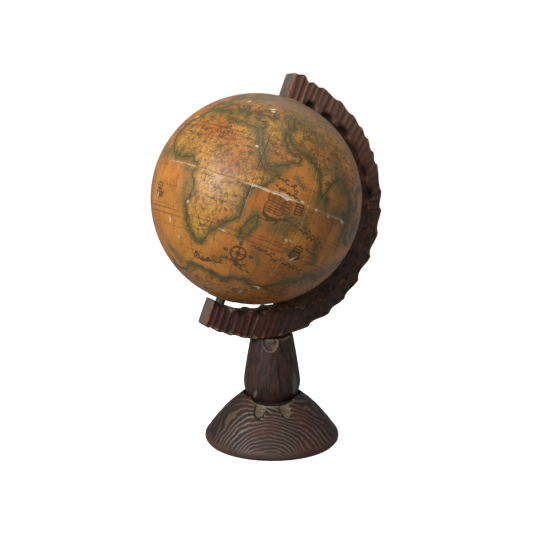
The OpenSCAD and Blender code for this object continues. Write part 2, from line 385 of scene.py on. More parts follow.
def distances(tree, points):
    """Distance, in mm, from each point of a grid to the nearest point in the tree."""
    return np.array([tree.find(p)[2] for p in points.reshape(-1, 3)]).reshape(points.shape[:-1])


def resample(points, step):
    """Extra points along a polyline, at most step apart."""
    out = [points[:1]]
    for a, b in zip(points[:-1], points[1:]):
        count = max(1, int(np.ceil(np.linalg.norm(b - a) / step)))
        share = np.arange(1, count + 1)[:, None] / count
        out.append(a + (b - a) * share)
    return np.concatenate(out)


def inside(lat, lon, shapes):
    """Even-odd test of each (lat, lon) against all the outlines together."""
    order = np.argsort(lat)
    lat, lon = lat[order], lon[order]
    odd = np.zeros(len(lat), bool)
    for shape in shapes:
        for a, b in zip(shape[:-1], shape[1:]):
            low, high = min(a[0], b[0]), max(a[0], b[0])
            i, j = np.searchsorted(lat, [low, high])
            if j > i:
                crossing = a[1] + (lat[i:j] - a[0]) * (b[1] - a[1]) / (b[0] - a[0])
                odd[i:j] ^= lon[i:j] < crossing
    out = np.zeros(len(lat), bool)
    out[order] = odd
    return out


coast_rng = np.random.default_rng(11)
shapes = [outline(text, coast_rng) for text in LAND.values()]
coast_points = []
for shape in shapes:
    sphere = GLOBE_R * direction(shape[:, 0], shape[:, 1] + MAP_TURN)
    keep = (shape[:, 0] > -89) & (np.abs(shape[:, 1]) < 179.9)
    for run in np.split(np.arange(len(shape)), np.flatnonzero(~keep)):
        if len(run) > 2:
            coast_points.append(resample(sphere[run[1:]], COAST_SPACING))
coast_tree = tree_of(np.concatenate(coast_points))


# ------------------------------ map: ink drawings, in mm east and north of a place


def arc(x, y, r, start=0, end=360, squash=1.0, count=14):
    turn = np.radians(np.linspace(start, end, count))
    return np.stack([x + r * np.cos(turn), y + r * squash * np.sin(turn)], axis=-1)


def line(*flat):
    return np.array(flat, float).reshape(-1, 2)


def spiral(x, y, r, start, turns, count=24):
    turn = np.radians(start + np.linspace(0, 360 * turns, count))
    reach = r * np.linspace(1, 0.15, count)
    return np.stack([x + reach * np.cos(turn), y + reach * np.sin(turn)], axis=-1)


def wave_row(width, tall, pitch, drop=0.0, seed=0):
    """A row of engraved sea waves: open crests of differing size, some with a small one above."""
    rng = np.random.default_rng(seed)
    rows = []
    x = 0.0
    while x < width:
        r = pitch * rng.uniform(0.3, 0.5)
        y = -drop * x / width + rng.uniform(-0.25, 0.25) * tall
        rows.append(arc(x, y, r, rng.uniform(-10, 40), rng.uniform(150, 200), tall / pitch * 1.3, 9))
        if rng.random() < 0.4:
            rows.append(arc(x + 0.3 * pitch, y + 0.9 * tall, 0.8 * r, 20, 160, 0.6, 6))
        x += pitch * rng.uniform(0.85, 1.35)
    return rows


def compass():
    """A compass rose with no letters, and a curl beyond each of its four points."""
    marks = [arc(0, 0, 4.8), arc(0, 0, 5.3), arc(0, 0, 1.0)]
    for k in range(8):
        turn = math.radians(45 * k)
        reach = 4.6 if k % 2 == 0 else 1.8
        marks.append(line(0, 0, reach * math.cos(turn), reach * math.sin(turn)))
    for k in range(4):
        turn = math.radians(90 * k)
        marks.append(spiral(8.4 * math.cos(turn), 7.6 * math.sin(turn), 1.5, 90 * k, 1.2))
    return marks


def sail(x, y, w, h, rows):
    """One billowing sail from its upper left corner, with rows of stitching."""
    edge = [line(x, y, x + w, y - 0.4), arc(x + w - 0.6, y - 0.4 - h / 2, h / 2, 90, -90)]
    edge += [line(x - 0.8, y - h, x + w, y - 0.4 - h), line(x, y, x - 1.4, y - h / 2, x - 0.8, y - h)]
    for k in range(rows):
        level = y - h * (k + 1) / (rows + 1)
        edge.append(line(x - 0.6, level, x + w - 0.2, level - 0.5))
    return edge


def galleon_sails():
    marks = sail(-4.8, 7.2, 8.5, 6.0, 3) + sail(-5.2, 0.4, 9.0, 6.4, 3)
    marks += sail(5.4, 4.4, 3.6, 3.6, 1) + sail(5.0, 0.2, 4.0, 3.8, 1)
    return marks + [line(-2.0, 7.2, -2.6, -6), line(1.6, 7.0, 1.0, -6)]


def galleon_hull():
    hull = []
    for k in range(5):
        hull.append(line(-6, -7 - 0.5 * k, -2, -9.0 - 0.45 * k, 5, -9.2 - 0.4 * k, 8 - 0.7 * k, -8))
    bowsprit = [line(7, -8.4, 14, -4.2), line(6, -8.8, 13, -7.4)]
    rudder = [line(-6, -7, -6.4, -4.5), line(3, -13, 5, -11)]
    pennant = [line(-0.5, 7, -0.4, 10), line(-0.4, 10, 2.2, 9.4)]
    return hull + bowsprit + rudder + pennant + [line(-8, -11.6, -2, -12.2, 2, -11)]


def small_ship():
    marks = sail(-2.4, 5.0, 4.2, 3.6, 1) + sail(-3.0, 0.6, 5.4, 3.2, 1)
    for k in range(3):
        keel = -4.2 - 0.3 * k
        marks.append(line(-4.2, -2.4 - 0.5 * k, -2.2, keel, 2.4, keel, 4.4, -2.2 - 0.6 * k))
    return marks + [line(4.2, -2.6, 6.4, -0.6), line(0, 4.5, 0.1, 6.3)]


def sea_beast():
    body = [line(-1, -1.5, 3, -2.4, 7, -1.2, 11, -2.0, 14, -0.6), line(0, 0, 4, -1.1, 8, 0, 11.5, -0.9)]
    coils = [spiral(-3.2, 0, 2.8, 20, 1.6), spiral(0.8, -0.6, 2.2, 160, 1.4)]
    coils.append(spiral(5.2, 0.6, 1.5, 200, 1.1))
    tail = [line(13, -1, 15.5, 1.2), line(13, -1, 15.8, -1.4)]
    return body + coils + tail + [line(-4.4, 2.6, -2.4, 4.6, -1.6, 2.2)]


def red_tents():
    marks = []
    for x, y in ((-4.4, 1), (-0.8, -2.4), (1.4, 3.4), (4.6, 0.2)):
        marks.append(line(x - 1.7, y - 2.2, x, y + 2.4, x + 1.7, y - 2.2))
        marks.append(line(x - 1.9, y - 2.3, x + 1.9, y - 2.3))
    return marks


def boxes():
    frame_lines = [line(-2.6, 3, 2.4, 3.3, 2.8, -3.4, -2.4, -3.8, -2.6, 3)]
    return frame_lines + [line(-1.8, y, 1.8, y - 0.3) for y in (1.6, 0.0, -1.7)]


def on_globe(lat, azimuth, turn, strokes):
    """Flat strokes wrapped onto the ball around a place."""
    up = direction(lat, azimuth)
    east = direction(0, azimuth + 90)
    north = np.cross(up, east)
    c, s = math.cos(math.radians(turn)), math.sin(math.radians(turn))
    wrapped = []
    for stroke in strokes:
        x = stroke[:, :1] * c - stroke[:, 1:] * s
        y = stroke[:, :1] * s + stroke[:, 1:] * c
        p = GLOBE_R * up + x * east + y * north
        wrapped.append(resample(p * GLOBE_R / np.linalg.norm(p, axis=1, keepdims=True), STROKE_SPACING))
    return wrapped


# Rows of waves: latitude, azimuth and turn in degrees, then width, height, pitch and fall in mm.
WAVES = (
    (8.8, 250.5, -14, 17, 2.4, 2.6, 0), (5.0, 251.5, -14, 19, 2.4, 2.8, 0),
    (-10.3, 268.0, -14, 30, 3.4, 4.2, 2), (-19.5, 281.0, -12, 12, 2.2, 3.2, 0),
    (-30.0, 262.0, -8, 32, 3.0, 4.0, 0), (-39.0, 236.0, -10, 16, 1.8, 2.2, 0),
    (-42.0, 246.0, -10, 12, 1.8, 2.2, 0), (-27.5, 252.0, -10, 12, 1.8, 2.4, 0),
    (25, 60, 0, 30, 3.0, 4.0, 0), (-35, 130, 0, 34, 3.0, 4.0, 0), (-8, 140, 0, 26, 2.6, 3.4, 0),
)
# Drawings: latitude, azimuth, turn and strokes.
INK = [
    (-33.6, 245.0, 0, compass()),
    (-3.2, 254.2, 0, galleon_hull()),
    (-14.1, 184.1, 0, small_ship()),
    (-22.5, 275.8, 0, small_ship()),
    (-43.8, 221.1, 6, sea_beast()),
    (-1.6, 266.2, 0, boxes()),
    (20, 95, 0, small_ship()),
    (-30, 60, 0, small_ship() + sea_beast()),
    (-12, 20, 0, compass()),
    (30, 140, 8, sea_beast()),
]
INK += [(*row[:3], wave_row(*row[3:], seed)) for seed, row in enumerate(WAVES, 1)]
RED = [
    (-3.2, 254.2, 0, galleon_sails()),
    (23.6, 214.9, 0, red_tents()),
    (42, 222, 0, red_tents()),
    (3.5, 246.5, 0, [arc(0, 0, r, count=10) for r in (0.5, 1.2)]),
    (45, 320, 0, red_tents()),
    (30, 100, 0, red_tents()),
]


def land_marks(count, rng):
    """Little hills, tufts, huts and streams scattered over the land."""
    kinds = (
        [line(-1.0, -0.6, -0.1, 0.8, 0.5, 0.1, 1.0, -0.6)],
        [line(-0.9, -0.6, -0.6, 0.6), line(0, -0.7, 0.1, 0.8), line(0.9, -0.6, 0.8, 0.5)],
        [arc(0, 0, 0.7, 20, 200, count=7), line(-0.6, -0.9, 0.7, -0.8)],
        [line(-3.0, -0.6, -1.6, 0.3, -0.4, -0.4, 1.0, 0.6, 2.4, 0.2, 3.4, 1.2)],
        [line(-0.2, -3.0, 0.5, -1.6, -0.3, -0.4, 0.4, 1.0, 0.0, 2.6)],
        [arc(0, 0, 1.5, 200, 330, count=8), arc(0.4, 1.2, 1.3, 200, 320, count=8)],
    )
    lat = np.degrees(np.arcsin(rng.uniform(-0.98, 0.98, count)))
    lon = rng.uniform(-180, 180, count)
    chosen = rng.integers(0, len(kinds), count)
    strokes = []
    for at, along, kind, on_land in zip(lat, lon, chosen, inside(lat, lon, shapes)):
        if on_land:
            strokes += on_globe(at, along + MAP_TURN, rng.uniform(-25, 25), kinds[kind])
    return strokes


fine_tree = tree_of(np.concatenate(land_marks(LAND_MARKS, np.random.default_rng(23))))
ink_tree = tree_of(np.concatenate([stroke for item in INK for stroke in on_globe(*item)]))
red_tree = tree_of(np.concatenate([stroke for item in RED for stroke in on_globe(*item)]))

# Green washes of watercolour: reach in mm, then places as latitude and azimuth.
WASHES = (
    (6.0, (35, 192, 36, 205, 37, 216, 36, 226)),
    (5.0, (34, 229, 29, 233, 24, 237, 19, 239, 14, 242, 11, 246, 14, 251)),
    (5.5, (6, 175, 6, 186, 5, 194, 6, 201)),
    (3.6, (0, 203, -6, 206, -14, 206, -22, 208, -29, 211, -33, 216, -33, 221)),
    (3.6, (-2, 239, -9, 238, -16, 238, -22, 233, -27, 227)),
    (4.2, (-12, 247, -17, 246, -23, 243)),
    (4.4, (36, 246, 31, 250, 29, 256, 26, 263, 24, 268, 18, 271)),
    (8.0, (38, 271, 44, 262, 46, 252)),
    (8.0, (27, 283, 17, 287, 12, 298, 6, 306, 0, 312)),
    (6.0, (6, 275, 2, 282, 4, 297, -6, 300)),
    (6.0, (-8, 262, -14, 258, -6, 270)),
    (3.4, (-51, 208, -52, 224, -54, 240, -49, 250, -48, 258, -50, 268)),
    (7.0, (-40, 283, -34, 296, -25, 310)),
    (2.4, (-12, 262, -16, 265)),
    (2.2, (-24, 269, -22, 274)),
    (2.6, (-31, 254, -35, 259)),
    (2.4, (-8, 272, -12, 277)),
    (3.4, (-14, 284, -24, 291)),
    (2.2, (-41, 232, -38, 238)),
    (2.0, (12, 260, 9, 265)),
    (4.5, (-44, 189, -50, 198)),
    (7.0, (30, 330, 20, 345, 5, 350)),
    (8.0, (40, 110, 30, 118, 8, 122)),
    (6.0, (-10, 150, -28, 160)),
    (7.0, (52, 40, 60, 80, 55, 150)),
)


def wash_strength(points):
    """How strongly the green wash lies on each place, from 0 to 1."""
    total = np.zeros(points.shape[:-1])
    for reach, flat in WASHES:
        places = np.array(flat, float).reshape(-1, 2)
        trail = resample(GLOBE_R * direction(places[:, 0], places[:, 1]), reach / 2)
        nearest = np.min([np.linalg.norm(points - p, axis=-1) for p in trail], axis=0)
        total = np.maximum(total, np.exp(-((nearest / reach) ** 2)))
    return total


# Chips in the paper: latitude, azimuth, half length and half width in mm, turn in degrees.
CHIPS = (
    (49.6, 211.1, 1.2, 0.8, 70), (48.5, 233.5, 2.6, 0.6, 35), (46.5, 234.5, 1.2, 0.9, 0),
    (20.9, 235.2, 0.9, 0.6, 0), (31.6, 296.6, 1.0, 0.7, 0), (29.1, 184.8, 1.6, 0.6, 30),
    (-16.8, 182.0, 1.8, 0.5, 90), (-27.7, 196.2, 1.9, 0.5, 90), (-35.8, 203.0, 0.9, 0.5, 90),
    (-16.0, 209.6, 0.8, 0.5, 60), (-24.4, 233.2, 1.5, 0.35, -8), (-18.1, 266.5, 1.0, 0.6, -50),
    (-17.6, 269.0, 1.6, 0.3, -12), (-26.3, 275.6, 2.2, 0.5, 55), (-59.6, 260.4, 2.2, 0.35, 90),
    (-50.8, 268.5, 2.6, 0.5, 10), (-51.2, 271.2, 0.9, 0.9, 0), (1.2, 295.5, 2.4, 0.6, -30),
    (2.4, 266.5, 1.3, 0.5, -10), (1.4, 275.5, 1.1, 0.7, 30), (0.6, 284.0, 1.0, 0.4, -20),
    (1.0, 258.6, 1.4, 1.1, -30), (6, 40, 2.0, 0.7, 20), (-30, 100, 1.4, 0.8, 40),
    (35, 20, 1.6, 0.6, 80), (-12, 330, 1.8, 0.5, 60),
)


def chip_depth(lat, azimuth, jitter):
    """How far inside a chip each place is, in mm; negative outside."""
    best = np.full(lat.shape, -3.0)
    for at, along, half, wide, turn in CHIPS:
        east = (azimuth - along) * math.cos(math.radians(at)) * GLOBE_R * TURN / 360
        north = (lat - at) * GLOBE_R * TURN / 360
        c, s = math.cos(math.radians(turn)), math.sin(math.radians(turn))
        x, y = (east * c + north * s) / half, (north * c - east * s) / wide
        best = np.maximum(best, (1 - np.hypot(x, y) + 0.35 * jitter) * wide)
    return best


# The open joint: azimuth along it and how wide the paper has torn there, in mm.
TORN = (
    (0, 0.05), (60, 0.4), (110, 0.05), (184, 0.05), (190, 0.18), (207, 0.2), (212, 0.02),
    (234, 0.03), (240, 0.38), (252, 0.6), (257.5, 1.25), (260, 0.85), (266, 0.1), (270, 0.26),
    (276, 0.1), (283, 0.16), (293, 0.5), (300, 0.1), (306, 0.05), (340, 0.3), (360, 0.05),
)


def torn_near(azimuth):
    """The tear's width there, in mm, before its edge is made ragged."""
    return np.interp(azimuth, *zip(*TORN))


def torn_width(azimuth):
    """The same with the edge made ragged."""
    points = GLOBE_R * direction(np.zeros_like(azimuth), azimuth)
    return torn_near(azimuth) * (1 + 0.9 * rough_noise(points, 3.0, 31))


def seam_lat(azimuth):
    """The torn joint wanders a little to each side of a level line."""
    points = GLOBE_R * direction(np.zeros_like(azimuth), azimuth)
    return SEAM_LAT + 0.3 * rough_noise(points, 7.0, 33)


# ------------------------------ the ball's paper

ROWS = 180
COLUMNS = 64
# Depth, in mm, of the paper's cut edge below the true ball.
PAPER = 0.38
POLE_LAT = math.degrees(math.acos(CALOTTE_R / GLOBE_R))


def paper_relief(points):
    """Height of the paper above the true ball, in mm: slack, wrinkles and grain."""
    return 0.16 * noise(points, 26, 3) + 0.05 * rough_noise(points, 7, 5) + 0.012 * noise(points, 1.6, 8)


def with_lips(grid, sides):
    """Repeats the outer rows and columns of a patch a little lower, as the paper's cut edge."""
    rows, cols = sides
    padded = np.pad(grid, ((rows, rows), (cols, cols), (0, 0)), mode="edge")
    lip = np.zeros(padded.shape[:2], bool)
    lip[:rows], lip[padded.shape[0] - rows:] = True, True
    if cols:
        lip[:, 0], lip[:, -1] = True, True
    return padded, lip


def sharpen_lips(mesh, lip):
    """Shades the paper's cut edges flat, so that they don't bend the shading of its face."""
    corners = np.empty(len(mesh.loops), np.int64)
    mesh.loops.foreach_get("vertex_index", corners)
    on_lip = lip.ravel()[corners.reshape(-1, 4)].any(axis=1)
    mesh.polygons.foreach_set("use_smooth", ~on_lip)


def paint_map(mesh, ball, lat, azimuth, torn):
    """Stores what the paper's material draws: coast, ink, red ink, chips and the place."""
    points = GLOBE_R * ball
    lon = (azimuth - MAP_TURN + 180) % 360 - 180
    land = inside(lat.ravel(), lon.ravel(), shapes).reshape(lat.shape)
    shore = distances(coast_tree, points)
    store(mesh, "coast", np.where(land, shore, -shore))
    jitter = rough_noise(points, 1.1, 21)
    chip = np.maximum(chip_depth(lat, azimuth, jitter), torn)
    store(mesh, "marks", distances(ink_tree, points), distances(red_tree, points), chip)
    store(mesh, "hills", distances(fine_tree, points))
    store(mesh, "place", lat, azimuth, wash_strength(points))


def make_gore(side, number, paper):
    """One printed gore: side is 1 for the north and -1 for the south."""
    step = 360 / GORES
    azimuth = np.linspace(step * (number - 1), step * number, COLUMNS)
    width = torn_width(azimuth)
    mm_per_degree = GLOBE_R * TURN / 360
    start = seam_lat(azimuth) + side * (0.02 + 0.5 * np.maximum(width, 0)) / mm_per_degree
    share = np.linspace(0, 1, ROWS)[:, None]
    lat = start + (side * POLE_LAT - start) * share
    azimuth = np.broadcast_to(azimuth, lat.shape)
    ball = direction(lat, azimuth)
    from_edge = np.abs(lat - start) * mm_per_degree
    torn = 0.7 * width - 0.12 - from_edge
    place_grid = np.stack([lat, azimuth, torn], axis=-1)
    ball, lip = with_lips(ball, (1, 1))
    place_grid, _ = with_lips(place_grid, (1, 1))
    lat, azimuth, torn = np.moveaxis(place_grid, -1, 0)
    points = GLOBE_R * ball
    curl = 0.3 * np.clip(torn_near(azimuth) - 0.2, 0, 1) * np.exp(np.maximum(torn, -9) / 1.6)
    joint = np.minimum(azimuth - step * (number - 1), step * number - azimuth)
    joint = joint * np.cos(np.radians(lat)) * mm_per_degree
    height = paper_relief(points) + curl - 0.006 * np.exp(-((joint / 0.45) ** 2))
    chip = chip_depth(lat, azimuth, rough_noise(points, 1.1, 21))
    height = height - 0.22 * smoothstep(-0.25, 0.2, chip)
    radius = np.where(lip, GLOBE_R - PAPER, GLOBE_R + height)
    side_name = "north" if side > 0 else "south"
    name = f"{side_name}_gore_{number:02d}"
    obj = grid_object("paper_" + name, to_world(ball * radius[..., None]), flip=side < 0)
    sharpen_lips(obj.data, lip)
    paint_map(obj.data, ball, lat, azimuth, torn)
    place(obj, "globe", name, "map_paper", paper)


def make_calotte(side, paper):
    """The round cap of paper at a pole, with its hole for the bush."""
    hole = (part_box("north_bush")[1].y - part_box("north_bush")[0].y) / 2 / MM + 0.15
    r = np.concatenate([[CALOTTE_R], np.linspace(CALOTTE_R, hole, 26), [hole]])[:, None]
    azimuth = np.broadcast_to(np.arange(0, 360, 2.5), (len(r), 144))
    edge = 1 + 0.01 * noise(GLOBE_R * direction(np.zeros(144), azimuth[0]), 6, 41)
    lat = side * np.degrees(np.arccos(np.clip(r * edge / GLOBE_R, 0, 1)))
    ball = direction(lat, azimuth)
    height = 0.3 + paper_relief(GLOBE_R * ball)
    height[0], height[-1] = -PAPER, -PAPER
    name = "north_calotte" if side > 0 else "south_calotte"
    points = to_world(ball * (GLOBE_R + height)[..., None])
    obj = grid_object("paper_" + name, points, wrap=True, flip=side < 0)
    paint_map(obj.data, ball, lat, azimuth, np.full(lat.shape, -3.0))
    place(obj, "globe", name, "map_paper", paper)


# ------------------------------ carved arm

# Angles of the ridges between the scoops of the outer edge, from the top end down.
SCOOP_PEAKS = (97, 91, 85, 79.7, 69.5, 60.4, 54.2, 48.1, 41.5, 35.5, 24, 16, 6.1, -4.3)
SCOOPS_END = -46.1
SCOOP_PEAKS += (-15.4, -25.2, -35.1, SCOOPS_END)
# The same for the few scoops under the lower end.
UNDER_START = -76
UNDER_PEAKS = (UNDER_START, -82, -87.5, -93, -98)
# Where the ends are sawn off, in mm outward from the axis, and the radii at which each end is laid out.
END_CUT = -8.2
LOW_END_R = (78.9, 99.0)
HIGH_END_R = (77.0, 92.0)
# Pitch of the flutes in mm, and of the hollows in degrees.
FLUTE_PITCH = 5.2
HOLLOW_PITCH = 11.5
ARM_CORNER = 1.1
# Radius of the outer edge and its swell, of the inner edge and its bow, of the back arris and the middle.
OUTER_MEAN, OUTER_SWELL = 95.6, 8.5
INNER_R, INNER_BOW = 75, 14.5
BACK_R = 79.6
MIDDLE_R = 88
FACE_POINTS, EDGE_POINTS = 40, 22
STATION_COUNT = 620
# Chips out of the front arrises near the foot: angle, then 0 on the inner arris or 1 on the outer.
NICKS = ((-85, 0), (-66, 0), (-56, 0), (-45, 0), (-82.6, 1), (-71.5, 1), (-59.4, 1))


def outer_radius(a):
    """Distance, in mm, from the ball's centre to the arm's outer edge at angle a from the equator."""
    ends = 2.4 * smoothstep(86.5, 90.5, a) - 1.4 * smoothstep(-40, -58, a)
    return OUTER_MEAN + OUTER_SWELL * np.cos(np.radians(a + 24)) + ends


def inner_radius(a):
    """The same to the front arris of its inner edge, which bows out at the middle."""
    bow = 90 * (a + 18) / np.where(a > -18, 92, 40)
    clearance = 4 - 2 * (a + 90) / 180
    return INNER_R + clearance + INNER_BOW * np.maximum(0, np.cos(np.radians(np.minimum(90, np.abs(bow)))))


def scoop(a, peaks, skew):
    """Which scoop each angle lies in, and how deep it is cut there, from 0 to 1."""
    falling = -np.asarray(peaks, float)
    index = np.clip(np.searchsorted(falling, -a) - 1, 0, len(peaks) - 2)
    f = np.clip((-a - falling[index]) / (falling[index + 1] - falling[index]), 0, 1) ** skew
    return index, 4 * f * (1 - f)


def jitter_of(index, seed):
    """A repeatable random number from -1 to 1 for each whole-numbered cut."""
    return lattice(np.stack([index, 0 * index, 0 * index], axis=-1).astype(np.int64), seed)


def rounded(points, low, high, corner):
    """Rounds the corners of a rectangle's outline, given as points on it."""
    core = np.clip(points, low + corner, high - corner)
    out = points - core
    length = np.linalg.norm(out, axis=-1, keepdims=True)
    return core + out * np.minimum(1, corner / np.maximum(length, 1e-9))


def end_angle(r, side):
    """The angle at which the end cut, parallel to the axis, meets radius r."""
    return side * np.degrees(np.arccos(END_CUT / r))


def flute_lean(a):
    """How far a flute slants along the arm for each mm across its face."""
    steep = np.clip(0.8 * (90 - np.abs(a)), 0, 27) * smoothstep(14, 32, np.abs(a))
    return np.tan(np.radians(steep)) * np.sign(a)


def scoop_depth(a, y, spot, right):
    """Depth, in mm, of the outer edge's scoops, and how far into its scoop each place lies."""
    index, cut = scoop(a + 0.9 * noise(spot, 14, 50), SCOOP_PEAKS, 1.9)
    depth = (1.05 + 0.95 * right) * (1 + 0.3 * jitter_of(index, 51)) * cut * (a > SCOOPS_END)
    low_index, low_cut = scoop(a, UNDER_PEAKS, 1.4)
    depth += 0.8 * (1 + 0.3 * jitter_of(low_index, 52)) * low_cut * (a < UNDER_START)
    bevel = smoothstep(0.45, 1.0, np.abs(y))
    return depth * (0.75 + 0.45 * bevel), cut


def hollow_bite(a, y, spot):
    """How strongly the row of hollows under each inner arris bites there; none near the top end."""
    at = (a + 96 + 2.2 * noise(spot, 30, 53)) / HOLLOW_PITCH
    index = np.floor(at).astype(np.int64)
    side_seed = np.where(y < 0, 0, 7)
    strength = np.clip(0.9 + 0.4 * jitter_of(index * 2 + side_seed, 54), 0.5, 1.3)
    f = at - index
    return smoothstep(88, 82, a) * np.clip(5 * f * (1 - f) - 0.35, 0, 1) * strength


def nick_depth(a, reach, span):
    """How deep the chips out of the arrises are, from 0 to 1."""
    nick = 0 * a
    for angle, outer in NICKS:
        off_arris = span - reach if outer else reach
        along_arris = np.abs(a - angle) * np.radians(1) * (99 if outer else 81)
        nick = np.maximum(nick, np.clip(1.1 - along_arris / 3.6 - off_arris / 4.2, 0, 1))
    return nick


def make_arm(wood):
    """The carved arm: a rounded section swept along the angle a, then scooped, fluted and chipped."""
    face, edge = FACE_POINTS, EDGE_POINTS
    out, back = np.linspace(0, 1, face, False), np.linspace(1, 0, face, False)
    t = np.concatenate([out, np.ones(edge), back, np.zeros(edge)])
    across = np.linspace(-1, 1, edge, False)
    y = np.concatenate([-np.ones(face), across, np.ones(face), -across])
    stations = np.concatenate([[0, 0.0004, 0.0012, 0.0026, 0.0045], np.linspace(0.007, 0.993, STATION_COUNT)])
    stations = np.concatenate([stations, 1 - stations[4::-1]])[:, None]
    low_in, low_out = (end_angle(r, -1) for r in LOW_END_R)
    high_in, high_out = (end_angle(r, 1) for r in HIGH_END_R)
    a = (low_in + (high_in - low_in) * stations) * (1 - t) + (low_out + (high_out - low_out) * stations) * t
    y = np.broadcast_to(y, a.shape)
    t = np.broadcast_to(t, a.shape)
    r_front, r_out = inner_radius(a), outer_radius(a)
    r_back = np.minimum(r_front, BACK_R - 2.2 * smoothstep(-66, -42, a))
    r_in = r_front + (r_back - r_front) * smoothstep(-1.0, 0.5, y)

    along = np.radians(a) * MIDDLE_R
    spot = np.stack([along, t * 18, y * 7.5], axis=-1)
    from_end = np.minimum(stations, 1 - stations) * 300
    inset = ARM_CORNER - np.sqrt(np.maximum(0, ARM_CORNER**2 - np.maximum(0, ARM_CORNER - from_end) ** 2))

    right = smoothstep(24, 10, a) * smoothstep(-62, -50, a)
    depth, cut = scoop_depth(a, y, spot, right)
    bite = hollow_bite(a, y, spot) * (1 - 0.55 * right)
    near_arris = np.clip(1 - t * (r_out - r_in) / 5.5, 0, 1) * smoothstep(0.2, 1.0, np.abs(y))
    hollow = bite * near_arris

    span = r_out - r_in - depth - inset * 2
    flat = np.stack([t * span, y * (ARM_HALF - inset)], axis=-1)
    low = np.stack([0 * span, -(ARM_HALF - inset) + 0 * span], axis=-1)
    high = np.stack([span, ARM_HALF - inset + 0 * span], axis=-1)
    corner = ARM_CORNER * (1 + 0.35 * rough_noise(spot, 9, 55))[..., None]
    section = rounded(flat, low, high, corner)

    reach = section[..., 0]
    lean = flute_lean(a) * (reach - span / 2)
    flute_at = (along - lean + 2.6 * noise(spot * np.array([1, 0.5, 1]), 15, 56)) / FLUTE_PITCH
    flute_index = np.floor(flute_at).astype(np.int64)
    f = flute_at - flute_index
    groove = 4 * f * (1 - f)
    broad = right * (1 - 0.25 * smoothstep(-40, -50, a))
    flute_depth = (0.55 - 0.3 * broad) * (1 + 0.7 * jitter_of(flute_index, 57))
    on_face = smoothstep(0.93, 1.0, np.abs(y)) * smoothstep(0, 0.06, t) * smoothstep(1.0, 0.95, t)
    carved = flute_depth * groove * on_face
    chop = np.abs(noise(spot * np.array([1, 0.6, 1]), 10, 58))
    facets = (0.35 + 1.9 * broad) * chop * on_face
    grain = 0.05 * noise(spot * np.array([1, 0.12, 1]), 0.9, 59) + 0.12 * rough_noise(spot, 4, 60)
    nick = nick_depth(a, reach, span) * smoothstep(0.9, 1.0, -y)
    carved = carved + facets * (1 - nick) + grain * on_face + 1.9 * np.minimum(nick, 0.7)
    thick = section[..., 1] - np.sign(section[..., 1]) * (carved + 3.2 * hollow * np.abs(y))
    thin = 0.16 * rough_noise(spot, 5, 61) * (1 - on_face)
    radius = r_in + inset + reach + 1.2 * bite * (1 - t) ** 6 + thin
    rim = r_in + 2.5 * hollow + inset + reach + thin
    radius = np.where(t < 0.5, np.maximum(radius, rim), radius)
    hug = ((1.1 + 1.6 * y**2) * smoothstep(62, 80, a) + 1.8 * smoothstep(-84, -93, a)) * (1 - t) ** 2
    radius = radius - hug * (1 - hollow)

    plane = np.radians(a)
    local = np.stack([radius * np.cos(plane), thick, radius * np.sin(plane)], axis=-1)
    obj = grid_object("carved_arm", to_world(local), wrap=True, flip=True, ends=(0, len(stations) - 1))
    near_outer = smoothstep(2.4, 0.4, span - reach) * smoothstep(0.6, 0.95, np.abs(y))
    near_inner = smoothstep(2.0, 0.4, reach) * smoothstep(0.6, 0.95, np.abs(y)) * (1 - hollow)
    ridge = (1 - groove) ** 2 * on_face * (1 - 0.6 * broad)
    scoop_dark = smoothstep(0.05, 0.9, cut) * smoothstep(0.9, 1, t)
    cap = smoothstep(0.35, 0.0, from_end) + 0 * a
    end_edge = np.exp(-(((from_end - 0.7) / 0.7) ** 2)) * smoothstep(0.5, 0.9, -y) + 0 * a
    store(obj.data, "end_edge", end_edge)
    store(obj.data, "nick", nick)
    inner = smoothstep(0.03, 0.0, t) * smoothstep(1.0, 0.8, np.abs(y))
    store(obj.data, "inner", inner)
    store(obj.data, "lay", *np.moveaxis(spot, -1, 0))
    store(obj.data, "carve", ridge, np.maximum(near_outer, near_inner), hollow)
    store(obj.data, "zone", broad, scoop_dark, cap)
    place(obj, "stand", "meridian_arm", "arm_wood", wood)


# ------------------------------ stem

# The side of the stand that the camera sees, as an azimuth.
FRONT = -90 - 26.4
STEM_ROWS, STEM_COLUMNS = 150, 200
FACET = 36
# Degrees from the front, then half width and length in mm; the dent and the nick also have a height.
STEM_GOUGE = (-4, 6.6, 8.6)
STEM_DENT = (58, 12.5, 4.6, 8.5)
STEM_NICK = (-38, 6, 1.6, 3.6)


def saddle(x):
    """Height, in mm, of the arm's underside above a place along x."""
    a = np.full_like(x, -66.0)
    for _ in range(12):
        r = outer_radius(a)
        px = CENTRE[0] + r * (np.cos(np.radians(a)) * OUTWARD[0] + np.sin(np.radians(a)) * NORTH[0])
        a = a - (px - x) / (r * TURN / 360)
    r = outer_radius(a)
    return CENTRE[2] + r * (np.cos(np.radians(a)) * OUTWARD[2] + np.sin(np.radians(a)) * NORTH[2])


def stem_radius(h):
    """The stem's radius, in mm, at height h above its foot, before it is faceted."""
    foot = BELLY_R - 3.3 + 2.7 * np.sin(np.radians(90 * np.clip(h, 0, 12) / 12))
    return np.where(h < 12, foot, BELLY_R - 0.6 - 5.2 * (np.clip(h - 12, 0, 60) / 33) ** 1.2)


def turn_between(theta, centre):
    """Degrees from centre round to theta, from -180 to 180."""
    return (theta - centre + 180) % 360 - 180


def mm_round(theta, centre, r):
    """Distance, in mm, round a circle of radius r from the angle centre to theta."""
    return turn_between(theta, centre) * TURN / 360 * r


